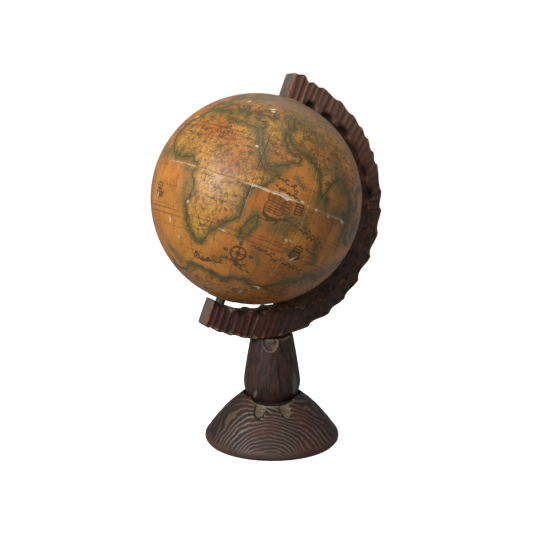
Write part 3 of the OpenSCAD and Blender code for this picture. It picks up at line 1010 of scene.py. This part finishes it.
def make_stem(wood):
    """The barrel-shaped stem, cut to fit under the arm, with a gouge, a dent and a nick in its front."""
    theta = np.arange(STEM_COLUMNS) * 360 / STEM_COLUMNS
    theta = np.broadcast_to(theta, (STEM_ROWS, STEM_COLUMNS))
    share = np.linspace(0, 1, STEM_ROWS)[:, None]
    c, s = np.cos(np.radians(theta)), np.sin(np.radians(theta))
    top = saddle(15.9 * c) - STEM_LOW
    h = top * share + 0 * theta
    facet_at = theta / FACET + 0.16 * noise(np.stack([0 * h, 0 * h, h], -1), 30, 70)
    f = facet_at - np.floor(facet_at)
    facet = 0.45 * (1 - 4 * f * (1 - f)) * smoothstep(2, 12, h)
    r = stem_radius(h) - 0.25 + facet
    spot = np.stack([r * c, r * s, h], -1)
    streak = rough_noise(spot * np.array([1, 1, 0.1]), 1.3, 71)
    r = r + 0.09 * streak + 0.25 * rough_noise(spot, 16, 72) - 0.1
    down = top - h
    turn, wide, tall = STEM_GOUGE
    gouge_r = np.hypot(mm_round(theta, FRONT + turn, 17) / wide, down / tall)
    gouge = smoothstep(1.02, 0.72, gouge_r)
    rim = np.exp(-(((gouge_r - 1.0) / 0.09) ** 2))
    r = r - 1.1 * gouge + 0.15 * rim
    turn, up, wide, tall = STEM_DENT
    dent = smoothstep(1.1, 0.6, np.hypot(mm_round(theta, FRONT + turn, 20) / wide, (h - up) / tall))
    turn, up, wide, tall = STEM_NICK
    slanted = mm_round(theta, FRONT + turn, 20) - (h - up) * 0.5
    nick = smoothstep(1.1, 0.6, np.hypot(slanted / wide, (h - up) / tall))
    r = r - 1.0 * dent - 0.5 * nick
    wear_top = np.exp(-((down / 1.1) ** 2))
    r = r - 0.9 * np.clip(1 - down / 1.0, 0, 1) ** 2 - 0.8 * np.clip(1 - h / 0.9, 0, 1) ** 2

    # Painted shadow: the top of the stem's left side, under the arm, is marked to be coloured near black.
    arm_shadow = np.exp(-((down / 3.0) ** 2)) * smoothstep(-6, -26, turn_between(theta, FRONT))
    side = np.stack([r * c, r * s, h], -1)
    caps = np.linspace(1, 0.04, 22)[1:, None]
    cr = r[-1] * caps
    lift = saddle(cr * c[-1]) - STEM_LOW
    tops = np.stack([cr * c[-1], cr * s[-1], lift + 0 * cr], -1)
    points = np.concatenate([side, tops]) + np.array([0, 0, STEM_LOW])
    obj = grid_object("carved_stem", points, wrap=True, ends=(0, len(points) - 1))
    pad = ((0, len(tops)), (0, 0))
    arm_shadow = np.pad(arm_shadow, pad, constant_values=1)
    store(obj.data, "cuts", *(np.pad(grid, pad) for grid in (gouge, rim, np.maximum(dent, nick))))
    # worn holds the top edge's wear, the grain streaks and the painted shadow under the arm.
    store(obj.data, "worn", np.pad(wear_top, pad), np.pad(streak, pad), arm_shadow)
    place(obj, "stand", "stem", "stem_wood", wood)


# ------------------------------ base

LIP_R = 22.2
LIP_Z = BASE_TOP - 1.3
RIM_Z = 5.4
SEAT_R = 20.98
RING_PITCH = 2.1
BULGE = 2.6
BASE_COLUMNS = 420
# The two gouge cuts: middle along the front, half width and length, in mm.
GOUGES = ((-9.0, 5.4, 8.4), (10.6, 5.2, 9.2))


def ring_field(points):
    """Growth rings about a level pith that points at the front, a little below the base."""
    turn = math.radians(FRONT)
    sideways = points[..., 0] * math.sin(turn) - points[..., 1] * math.cos(turn)
    forward = points[..., 0] * math.cos(turn) + points[..., 1] * math.sin(turn)
    wander = 3.6 * noise(points, 30, 80) + 1.3 * noise(points, 9, 81) + 0.35 * noise(points, 3, 85)
    distance = np.hypot(0.88 * (sideways - 1.5), points[..., 2] + 6 + 0.04 * forward) + wander
    return distance / RING_PITCH


def gouge_depth(theta, r, slope):
    """How deep the two gouge cuts below the base's top edge go, from 0 to 1."""
    edge_r = BASE_R - (31.2 - RIM_Z - 0.8) / slope
    gouge = 0
    for middle, width, long in GOUGES:
        x = (mm_round(theta, FRONT, 29) - middle) / width
        g = (r - edge_r + 0.8) / long
        gouge = gouge + np.clip(1 - x * x - np.clip(g, 0, 2) ** 1.5, 0, 1) * smoothstep(-0.25, 0.05, g)
    return np.clip(gouge, 0, 1)


def make_base(wood):
    """The low cone with its lip, cut back and gouged at the front, with raised rings of grain."""
    theta = np.arange(BASE_COLUMNS) * 360 / BASE_COLUMNS
    stretches = ((0.4, 19.2, 14), (19.4, 20.9, 12), (SEAT_R, 22.68, 9), (22.9, 30, 40))
    stretches += ((30.25, BASE_R - 0.5, 96),)
    r = np.concatenate([np.linspace(*stretch) for stretch in stretches])[::-1, None] + 0 * theta
    theta = theta + 0 * r
    c, s = np.cos(np.radians(theta)), np.sin(np.radians(theta))
    slope = (LIP_Z - RIM_Z) / (BASE_R - LIP_R)
    inward = np.clip((BASE_R - r) / (BASE_R - LIP_R), 0, 1)
    cone = RIM_Z + slope * (BASE_R - r) + BULGE * np.sin(math.pi * inward)
    away = np.abs(turn_between(theta, FRONT + 2))
    cut = 32.5 + 0.3 * noise(np.stack([r * c, r * s, 0 * r], -1), 6, 82)
    cut = np.maximum(cut + 3.7 * (away / 54) ** 2, 30)
    seat = STEM_LOW + 0 * r
    wall = smoothstep(SEAT_R, SEAT_R + 0.5, r)
    z = np.where(r < 19.3, seat, np.minimum(seat * (1 - wall) + cone * wall, cut))
    groove = smoothstep(19.2, 19.6, r) * smoothstep(25.5, 22, r) * smoothstep(48, 30, away)
    z = z - 0.9 * groove
    on_cone = smoothstep(-0.02, 0.25, z - cone + 0.3)
    gouge = gouge_depth(theta, r, slope)
    points = np.stack([r * c, r * s, z], -1)
    ring = ring_field(points)
    wave = 0.5 + 0.5 * np.cos(TURN * ring)
    ridge = wave**3
    outward = np.array([slope, 0, 1]) / math.hypot(slope, 1)
    fade = smoothstep(82, 46, away)
    lift = on_cone * (0.34 * (ridge - 0.6) * fade + 0.16 * rough_noise(points, 5, 83)) - 2.1 * gouge**0.6
    lift = lift * smoothstep(BASE_R - 0.5, BASE_R - 3, r) * (r > SEAT_R) - 0.12 * (r > SEAT_R)
    points[..., 0] += lift * outward[0] * c
    points[..., 1] += lift * outward[0] * s
    points[..., 2] += lift * outward[2]

    def hoop(radius, height):
        wobble = 1 + 0.002 * noise(np.stack([r[0] * c[0], r[0] * s[0], 0 * r[0] + height], -1), 9, 84)
        return np.stack([radius * wobble * c[0], radius * wobble * s[0], height + 0 * c[0]], -1)

    rims = ((4, BASE_LOW), (1.2, BASE_LOW), (0.75, BASE_LOW + 0.2), (0.25, BASE_LOW + 0.9))
    rims += ((0.05, BASE_LOW + 2.2), (0.05, RIM_Z - 1.2), (0.15, RIM_Z - 0.4))
    low = np.array([hoop(BASE_R - inset, height) for inset, height in rims])
    grid = np.concatenate([low, points])
    obj = grid_object("carved_base", grid, wrap=True, ends=(0, len(grid) - 1))
    pad = ((len(low), 0), (0, 0))
    edge_line = np.exp(-(((cone - cut - 0.2) / 0.8) ** 2))
    edge_line = edge_line * smoothstep(60, 36, away) * (r > 23)
    shade = np.maximum(groove, smoothstep(0.3, 2.5, cone - z))
    store(obj.data, "cuts", *(np.pad(field, pad) for field in (gouge, edge_line, shade)))
    store(obj.data, "ring", np.concatenate([ring_field(low), ring]))
    store(obj.data, "flank", grid[..., 2], np.pad(away, pad, mode="edge"), 0 * grid[..., 2])
    place(obj, "stand", "base", "base_wood", wood)


# ------------------------------ materials

FLOOR_GLOW = 0.85
# The printed grid, in degrees: meridians, parallels and the double lines of the two tropics.
MERIDIAN_STEP = 15.0
PARALLEL_STEP = 10.0
TROPICS = (-22.3, -25.0, 23.5, 26.0)


def paint_ground(s, land, lat):
    """Yellowed paper, browner in patches and paler over the land."""
    broad = s.noise(46, 3, 0.5)
    patch = s.noise(13, 4, 0.6)
    s.color = s.mix(s.ramp(broad, 0.36, 0.66), (172, 98, 30), (196, 124, 42))
    s.coat((208, 144, 62), s.ramp(patch, 0.48, 0.72), 0.5)
    s.coat((148, 76, 20), s.ramp(patch, 0.5, 0.28), s.ramp(land, 0.0, 1.0, 0.45, 0.12))
    lit_land = s.times(land, s.cloud(20, 2, 0.36, 0.58), s.ramp(lat, -46.0, -34.0))
    s.coat((192, 148, 60), lit_land, 0.55)


def print_grid(s, lat, azimuth, worn):
    """Meridians, parallels and the double lines of the tropics."""
    meridian = s.line(s.from_lines(azimuth, 4.0, MERIDIAN_STEP), 0.009, 0.023)
    s.coat((86, 50, 26), meridian, worn, 0.45)
    level = s.line(s.from_lines(lat, -0.6, PARALLEL_STEP), 0.016, 0.03)
    s.coat((84, 50, 26), level, s.cloud(6, 2, 0.38, 0.54, 0.2, 1.0), 0.45)
    for tropic_lat in TROPICS:
        tropic = s.line(s.math("SUBTRACT", lat, tropic_lat), 0.22, 0.35)
        s.coat((76, 44, 24), tropic, s.cloud(6, 2, 0.34, 0.5, 0.3, 1.0), 0.62)


def age_varnish(s, lat, fibre):
    """Grime, a grey-brown top, stains, pale fibres and crackle, which it gives back."""
    grime = s.cloud(30, 4, 0.5, 0.74, roughness=0.62)
    s.coat((100, 72, 40), grime, 0.45)
    polar = s.times(s.ramp(lat, 34.0, 66.0), s.cloud(14, 3, 0.3, 0.6, 0.4, 1.0))
    s.coat((134, 118, 98), polar, 0.85)
    s.coat((92, 56, 28), s.cloud(4.2, 4, 0.6, 0.78, roughness=0.7), 0.4)
    crackle = s.cells(9, "DISTANCE_TO_EDGE")
    crack = s.times(s.ramp(crackle, 0.004, 0.016, 1.0, 0.0), s.cloud(16, 2, 0.54, 0.66))
    s.coat((210, 160, 104), crack, 0.3)
    s.coat((238, 190, 120), s.ramp(fibre, 0.2, 0.85, 0.0, 0.16))
    return crack


def map_paper():
    """Printed, hand-coloured map under yellowed varnish, chipped down to pale card."""
    s = Shader("map_paper")
    ink, red, chip = s.parts("marks")
    lat, azimuth, washed = s.parts("place")
    wobble = s.math("MULTIPLY_ADD", s.noise(2.2, 2), 0.7, -0.35)
    coast = s.math("ADD", s.number("coast"), wobble)
    land = s.ramp(coast, -0.1, 0.3)

    fine = s.noise(2.4, 4, 0.65)
    fibre = s.noise(0.5, 3, 0.7)
    paint_ground(s, land, lat)

    off_coast = s.math("ABSOLUTE", coast)
    mottle = s.noise(6, 4, 0.65)
    band = s.times(s.ramp(off_coast, 0.8, 3.6, 1.0, 0.0), s.ramp(mottle, 0.34, 0.56, 0.4, 1.0))
    s.coat((84, 86, 38), band, 0.78)
    painted = s.times(washed, s.ramp(mottle, 0.3, 0.56, 0.45, 1.0))
    s.coat((86, 88, 44), painted, 0.86)

    ink_brown, ink_green = (64, 42, 20), (50, 52, 26)
    worn = s.cloud(5, 3, 0.36, 0.5, 0.35, 1.0)
    for size, seed_shift, strength, zone in (
        (5.4, 0.0, 0.6, land),
        (2.6, 40.0, 0.3, s.times(land, s.cloud(9, 2, 0.44, 0.52))),
        (2.2, 90.0, 0.55, s.math("MAXIMUM", band, painted)),
        (3.2, 150.0, 0.5, s.cloud(12, 3, 0.44, 0.56)),
        (1.8, 210.0, 0.25, s.cloud(7, 3, 0.52, 0.62)),
    ):
        moved = s.vector("ADD", s.here, (seed_shift, 0.0, 0.0))
        wander = s.noise(size, 2.0, 0.5, at=moved, distortion=0.5)
        drawn = s.line(s.math("SUBTRACT", wander, 0.5), 0.1 / size, 0.1 / size)
        gaps = s.ramp(s.noise(size * 0.55, 1, 0.5, at=moved), 0.42, 0.5)
        s.coat(ink_brown, drawn, gaps, zone, worn, strength)
    dots = s.times(s.ramp(s.cells(1.55), 0.16, 0.3, 1.0, 0.0), land, s.cloud(12, 2, 0.46, 0.53))
    s.coat((60, 42, 20), dots, 0.6)
    hatch_wave = s.math("SINE", s.math("MULTIPLY_ADD", lat, 7.4, s.math("MULTIPLY", s.noise(7, 2), 6.0)))
    near = s.ramp(off_coast, 1.6, 3.2, 1.0, 0.0)
    hatch_zone = s.math("MAXIMUM", s.times(land, s.cloud(8, 2, 0.53, 0.6)), near)
    broken = s.cloud(1.5, 2, 0.42, 0.52)
    hatch = s.times(s.ramp(hatch_wave, 0.2, 0.8), hatch_zone, broken)
    s.coat(ink_green, hatch, 0.6)
    stroke = s.noise(1.1, 2, 0.5, at=s.stretched(s.here, 0.45, 1.0, 1.0))
    engraved = s.times(s.ramp(stroke, 0.57, 0.66), s.cloud(9, 3, 0.4, 0.54))
    s.coat((78, 46, 22), engraved, 0.25)

    print_grid(s, lat, azimuth, worn)

    hills = s.times(s.ramp(s.number("hills"), 0.22, 0.5, 1.0, 0.0), worn)
    s.coat(ink_brown, hills, 0.85)
    shore = s.line(coast, 0.34, 0.4)
    s.coat((42, 46, 24), shore, s.ramp(fine, 0.3, 0.5, 0.6, 1.0), 0.9)
    jot = s.math("MULTIPLY_ADD", fine, 0.5, -0.25)
    s.coat((84, 24, 12), s.ramp(s.math("ADD", red, jot), 0.26, 0.58, 1.0, 0.0), 0.85)
    s.coat((34, 30, 18), s.ramp(s.math("ADD", ink, jot), 0.3, 0.6, 1.0, 0.0), 0.92)

    crack = age_varnish(s, lat, fibre)

    bare = s.ramp(s.math("ADD", chip, s.math("MULTIPLY_ADD", fine, 0.3, -0.15)), -0.12, 0.06)
    halo = s.ramp(chip, -0.8, -0.05)
    s.coat((214, 172, 116), halo, 0.3)
    card = s.mix(s.noise(0.9, 3, 0.6), (196, 176, 138), (240, 226, 196))
    s.coat(card, bare)

    rough = s.math("ADD", s.cloud(9, 3, 0.3, 0.7, 0.36, 0.5), s.times(bare, 0.4))
    height = s.math("ADD", s.math("MULTIPLY", fine, 0.5), s.math("MULTIPLY", fibre, 0.35))
    height = s.math("SUBTRACT", height, s.math("MULTIPLY", crack, 0.6))
    return s.finish(rough, s.bump(height, 0.12), 0.42)


def arm_wood():
    """Red-brown carved wood: worn arrises, darker scoops, dark lower side and paler sawn ends, with painted
    shade low down and in the hollows, painted highlights on the lower facets and painted light towards the
    top.
    """
    s = Shader("arm_wood")
    lay = s.node("ShaderNodeAttribute", attribute_name="lay").outputs["Vector"]
    ridge, wear, hollow = s.parts("carve")
    broad, scooped, cap = s.parts("zone")
    tone = s.noise(16, 3, 0.6)
    fibre = s.noise(1.0, 4, 0.65, at=s.stretched(lay, 1.9, 0.16, 0.5))
    streak = s.noise(1.0, 4, 0.7, at=s.stretched(lay, 3.6, 0.1, 0.35))
    pores = s.noise(0.35, 2, 0.6)
    s.color = s.mix(s.ramp(fibre, 0.34, 0.62), (40, 25, 21), (92, 47, 32))
    s.coat((126, 62, 40), s.ramp(tone, 0.42, 0.7), 0.5)
    s.coat((116, 90, 74), s.ramp(streak, 0.46, 0.66), 0.5)
    s.coat((158, 70, 40), s.ramp(ridge, 0.3, 0.95), s.cloud(5, 3, 0.34, 0.6, 0.25, 1.0), 0.85)
    s.coat((40, 28, 26), s.ramp(ridge, 0.22, 0.0), s.cloud(8, 2, 0.4, 0.55), 0.5)
    dark = s.times(s.ramp(broad, 0.2, 0.9), s.cloud(11, 3, 0.3, 0.62, 0.95, 0.55))
    s.coat((70, 54, 46), dark, 0.8)
    run = s.parts("lay")[0]
    # Painted shadow towards the lower end of the arm, and painted light towards its upper end.
    s.coat((26, 15, 12), s.ramp(run, -70.0, -95.0, 0.0, 0.35))
    s.coat((138, 108, 88), s.ramp(run, 15.0, 70.0, 0.0, 0.3))
    # Painted highlights: grey-tan patches on the inner face towards the lower end.
    inner_highlight_patches = s.cloud(5, 4, 0.36, 0.58, 0.3, 0.75, roughness=0.65)
    s.coat((116, 102, 80), s.number("inner"), s.ramp(run, -50.0, -75.0), inner_highlight_patches)
    # Painted shade: near-black patches among the broad facets of the lower right side.
    deep = s.times(broad, s.cloud(8, 4, 0.52, 0.36, roughness=0.6))
    s.coat((18, 13, 11), deep, 0.85)
    # Painted highlights: olive-grey patches on the broad facets of the lower right side.
    facet_highlights = s.times(broad, s.cloud(7, 4, 0.56, 0.7, roughness=0.6))
    s.coat((104, 88, 68), facet_highlights, 0.6)
    s.coat((50, 38, 36), scooped, 0.5)
    dust = s.times(s.cloud(7, 4, 0.56, 0.72, roughness=0.7), s.cloud(2.5, 3, 0.4, 0.6))
    s.coat((128, 112, 90), dust, 0.4)
    wear = s.math("MAXIMUM", wear, s.number("end_edge"))
    worn = s.times(wear, s.cloud(4.2, 4, 0.48, 0.62, roughness=0.7))
    s.coat((190, 100, 54), worn, 0.85)
    pale = s.times(s.ramp(wear, 0.25, 0.8), s.ramp(s.cells(11), 0.2, 0.3, 1.0, 0.0))
    s.coat((146, 130, 98), pale, 0.75)
    end_lines = s.noise(1.0, 4, 0.7, at=s.stretched(lay, 0.2, 0.14, 1.7))
    end_color = s.mix(s.ramp(end_lines, 0.36, 0.64), (70, 56, 51), (122, 106, 98))
    s.coat(end_color, cap, s.math("SUBTRACT", 1.0, s.times(worn, 0.8)))
    # Painted shade: the hollows under the inner arrises are coloured dark.
    s.coat((36, 26, 22), s.ramp(hollow, 0.15, 0.7))
    chipped = s.mix(s.cloud(1.6, 3, 0.35, 0.65), (86, 70, 52), (138, 122, 94))
    s.coat(chipped, s.ramp(s.number("nick"), 0.1, 0.3))
    s.coat((34, 24, 22), s.ramp(pores, 0.6, 0.75), 0.35)
    rough = s.cloud(6, 3, 0.3, 0.7, 0.42, 0.64)
    height = s.math("ADD", fibre, s.math("MULTIPLY", streak, 0.6))
    return s.finish(rough, s.bump(height, 0.35), 0.4)


def stem_wood():
    """Dark turned wood with paler tool marks and a painted grey highlight on its dent and nick, darkest where
    the arm shades it, which is painted shadow.
    """
    s = Shader("stem_wood")
    gouge, rim, dent = s.parts("cuts")
    top, streaks, arm_shadow = s.parts("worn")
    grain = s.noise(1.0, 4, 0.62, at=s.stretched(s.here, 0.5, 0.5, 0.03))
    fine = s.noise(1.0, 4, 0.7, at=s.stretched(s.here, 1.7, 1.7, 0.09))
    s.color = s.mix(s.ramp(grain, 0.36, 0.64), (29, 18, 14), (66, 41, 29))
    s.coat((94, 72, 60), s.ramp(fine, 0.54, 0.76), 0.3)
    s.coat((72, 42, 30), s.cloud(17, 3, 0.5, 0.72), 0.5)
    s.coat((88, 72, 64), s.ramp(streaks, 0.1, 0.6), 0.2)
    weave = s.noise(2.6, 3, 0.6)
    s.coat(s.mix(s.ramp(weave, 0.4, 0.62), (44, 32, 26), (90, 70, 54)), gouge, 0.8)
    s.coat((120, 96, 80), s.ramp(rim, 0.3, 0.9), s.cloud(3, 2, 0.36, 0.5, 0.35, 1.0), 0.7)
    # Painted highlight: the carved dent and nick are coloured grey, as a side light shows on a facet.
    s.coat((108, 104, 100), dent, 0.85)
    s.coat((134, 112, 78), top, s.cloud(4, 3, 0.42, 0.56), 0.7)
    s.coat((118, 92, 66), s.cloud(6, 4, 0.6, 0.75, roughness=0.7), 0.4)
    # Painted shadow under the arm, on the stem's top left.
    s.coat((12, 9, 8), arm_shadow, 0.92)
    rough = s.cloud(7, 3, 0.3, 0.7, 0.38, 0.6)
    height = s.math("ADD", grain, s.math("MULTIPLY", fine, 0.5))
    return s.finish(rough, s.bump(height, 0.35), 0.42)


def base_wood():
    """Dark wood whose raised growth rings are rubbed pale."""
    s = Shader("base_wood")
    gouge, edge, shade = s.parts("cuts")
    jitter = s.math("MULTIPLY_ADD", s.noise(1.2, 3), 0.25, -0.12)
    ring = s.math("ADD", s.number("ring"), jitter)
    wave = s.math("MULTIPLY_ADD", s.math("COSINE", s.math("MULTIPLY", ring, TURN)), 0.5, 0.5)
    fine = s.noise(0.8, 4, 0.7)
    patch = s.noise(15, 3, 0.55)
    level, away, _ = s.parts("flank")
    wave = s.times(wave, s.ramp(level, 5.6, 7.0, 0.45, 1.0), s.ramp(away, 46.0, 78.0, 1.0, 0.55))
    s.color = s.mix(s.ramp(wave, 0.34, 0.95), (40, 27, 23), (100, 80, 66))
    # Painted light: the low rim, which lies in shade, is coloured paler.
    s.coat((104, 80, 68), s.ramp(level, 7.0, 5.6, 0.0, 0.5))
    front = s.noise(26, 2)
    s.coat((80, 38, 27), s.ramp(front, 0.44, 0.64), s.ramp(away, 30.0, 60.0, 0.6, 0.2))
    s.coat((108, 88, 72), s.ramp(patch, 0.52, 0.72), s.ramp(wave, 0.5, 0.9), 0.4)
    s.coat((40, 29, 26), s.ramp(patch, 0.46, 0.3), 0.5)
    s.coat((110, 92, 78), s.ramp(fine, 0.55, 0.75), 0.25)
    pit = s.mix(s.cloud(0.9, 3, 0.4, 0.6), (76, 62, 48), (122, 106, 84))
    s.coat((30, 21, 18), s.ramp(gouge, 0.02, 0.1))
    s.coat(pit, s.ramp(gouge, 0.16, 0.36))
    s.coat((132, 112, 84), edge, 0.8)
    s.coat((15, 11, 10), s.ramp(shade, 0.2, 0.8), 0.92)
    rough = s.math("MAXIMUM", s.ramp(wave, 0.2, 0.8, 0.62, 0.42), s.times(shade, 0.95))
    height = s.math("ADD", s.math("MULTIPLY", wave, 0.4), s.math("MULTIPLY", fine, 0.5))
    return s.finish(rough, s.bump(height, 0.22), 0.42)


def small_wood(name, dark, light):
    s = Shader(name)
    turned = s.stretched(s.here, 1.3, 1.3, 0.16)
    grain = s.noise(1.0, 4, 0.65, at=turned)
    s.color = s.mix(s.ramp(grain, 0.35, 0.65), dark, light)
    s.coat(dark, s.cloud(0.5, 3, 0.55, 0.7, roughness=0.7), 0.4)
    return s.finish(s.cloud(2, 3, 0.3, 0.7, 0.5, 0.72), s.bump(grain, 0.15))


def cardboard():
    s = Shader("cardboard")
    pulp = s.noise(1.1, 4, 0.7)
    flecks = s.ramp(s.cells(2.6), 0.05, 0.16, 1.0, 0.0)
    s.color = s.mix(pulp, (176, 148, 106), (226, 206, 168))
    s.coat((126, 98, 66), flecks, 0.5)
    return s.finish(s.ramp(pulp, 0.3, 0.7, 0.8, 0.94), s.bump(pulp, 0.2))


def felt():
    s = Shader("felt")
    fuzz = s.noise(0.45, 5, 0.8)
    clump = s.noise(3.5, 3, 0.6)
    s.color = s.mix(fuzz, (34, 46, 30), (74, 88, 60))
    s.coat((92, 98, 74), s.ramp(clump, 0.5, 0.7), 0.4)
    s.surface.inputs["Sheen Weight"].default_value = 0.35
    return s.finish(s.ramp(fuzz, 0.3, 0.7, 0.9, 0.98), s.bump(fuzz, 0.3))


def metal(name, dark, light, tarnish):
    s = Shader(name)
    brushed = s.noise(0.35, 3, 0.6)
    stain = s.noise(3.0, 4, 0.65)
    s.color = s.mix(s.ramp(brushed, 0.3, 0.7), dark, light)
    s.coat(tarnish, s.ramp(stain, 0.45, 0.7), 0.6)
    s.surface.inputs["Metallic"].default_value = 0.9
    return s.finish(s.ramp(stain, 0.3, 0.7, 0.34, 0.58), s.bump(brushed, 0.03))


def plain_floor():
    s = Shader("studio_floor")
    tone = s.noise(160, 2)
    s.color = s.mix(tone, (250, 250, 250), (255, 255, 255))
    s.surface.inputs["Emission Color"].default_value = (1, 1, 1, 1)
    s.surface.inputs["Emission Strength"].default_value = FLOOR_GLOW
    return s.finish(s.ramp(tone, 0.3, 0.7, 0.9, 0.95), specular=0.0)


# ------------------------------ build

paper = map_paper()
for hemisphere in (1, -1):
    for gore_number in range(1, GORES + 1):
        make_gore(hemisphere, gore_number, paper)
    make_calotte(hemisphere, paper)
make_arm(arm_wood())
make_stem(stem_wood())
make_base(base_wood())

steel = metal("steel", (92, 92, 90), (150, 150, 146), (66, 58, 48))
brass = metal("brass", (150, 112, 50), (206, 170, 92), (92, 66, 34))
peg = small_wood("peg_wood", (46, 44, 34), (96, 92, 72))
pale = small_wood("pale_wood", (150, 112, 72), (206, 170, 122))
card = cardboard()
finishes = {
    "felt_pad": felt(),
    "base_screw": steel, "base_screw_washer": steel, "axis_rod": steel,
    "upper_washer": brass, "north_bush": brass, "south_bush": brass,
    "lower_spacer": peg, "rod_plug": pale, "arm_dowel": pale,
    "north_pole_block": pale, "south_pole_block": pale,
    "north_hemisphere": card, "south_hemisphere": card, "equator_band": card,
}
for node_name, material in finishes.items():
    mesh = frame["nodes"][node_name].data
    mesh.materials.clear()
    mesh.materials.append(material)


# ------------------------------ stage, lights and camera

FLOOR_SIZE = 6.0
CAMERA_AT = Vector((-0.2841, -0.5722, 0.2343))
LOOK_AT = Vector((-0.0036, 0.0018, 0.1303))
LENS = 59.9
WORLD_LIGHT = 0.27


def make_floor():
    mesh = bpy.data.meshes.new("studio_floor")
    corners = [(x * FLOOR_SIZE, y * FLOOR_SIZE, 0) for x, y in ((-1, -1), (1, -1), (1, 1), (-1, 1))]
    mesh.from_pydata(corners, [], [(0, 1, 2, 3)])
    mesh.materials.append(plain_floor())
    floor = new_object("studio_floor", mesh)
    floor.visible_diffuse = False
    floor.visible_glossy = False


def make_light(name, azimuth, elevation, away, wide, tall, watts):
    """A soft box aimed at the middle of the object."""
    a, e = math.radians(azimuth), math.radians(elevation)
    back = Vector((math.sin(a) * math.cos(e), -math.cos(a) * math.cos(e), math.sin(e)))
    data = bpy.data.lights.new(name, "AREA")
    data.shape = "RECTANGLE"
    data.size = wide
    data.size_y = tall
    data.energy = watts
    lamp = new_object(name, data)
    lamp.location = LOOK_AT + back * away
    lamp.rotation_euler = back.to_track_quat("Z", "Y").to_euler()


def make_world():
    """Pure white to the camera, and dimmer as a light."""
    world = bpy.data.worlds.new("studio")
    world.use_nodes = True
    tree = world.node_tree
    background = tree.nodes["Background"]
    background.inputs["Color"].default_value = (1, 1, 1, 1)
    light_path = tree.nodes.new("ShaderNodeLightPath")
    dim = tree.nodes.new("ShaderNodeMapRange")
    dim.inputs["To Min"].default_value = WORLD_LIGHT
    dim.inputs["To Max"].default_value = 1.0
    tree.links.new(light_path.outputs["Is Camera Ray"], dim.inputs["Value"])
    tree.links.new(dim.outputs["Result"], background.inputs["Strength"])
    bpy.context.scene.world = world
    bpy.context.scene.view_settings.view_transform = "Standard"


def make_camera():
    data = bpy.data.cameras.new("camera")
    data.sensor_width = 36
    data.lens = LENS
    camera = new_object("camera", data)
    camera.location = CAMERA_AT
    camera.rotation_euler = (CAMERA_AT - LOOK_AT).to_track_quat("Z", "Y").to_euler()
    bpy.context.scene.camera = camera


make_floor()
make_light("key", azimuth=-68, elevation=27, away=0.95, wide=0.45, tall=0.34, watts=7.3)
make_light("top", azimuth=-20, elevation=70, away=1.0, wide=0.6, tall=0.6, watts=2.4)
make_world()
make_camera()

bpy.context.view_layer.update()
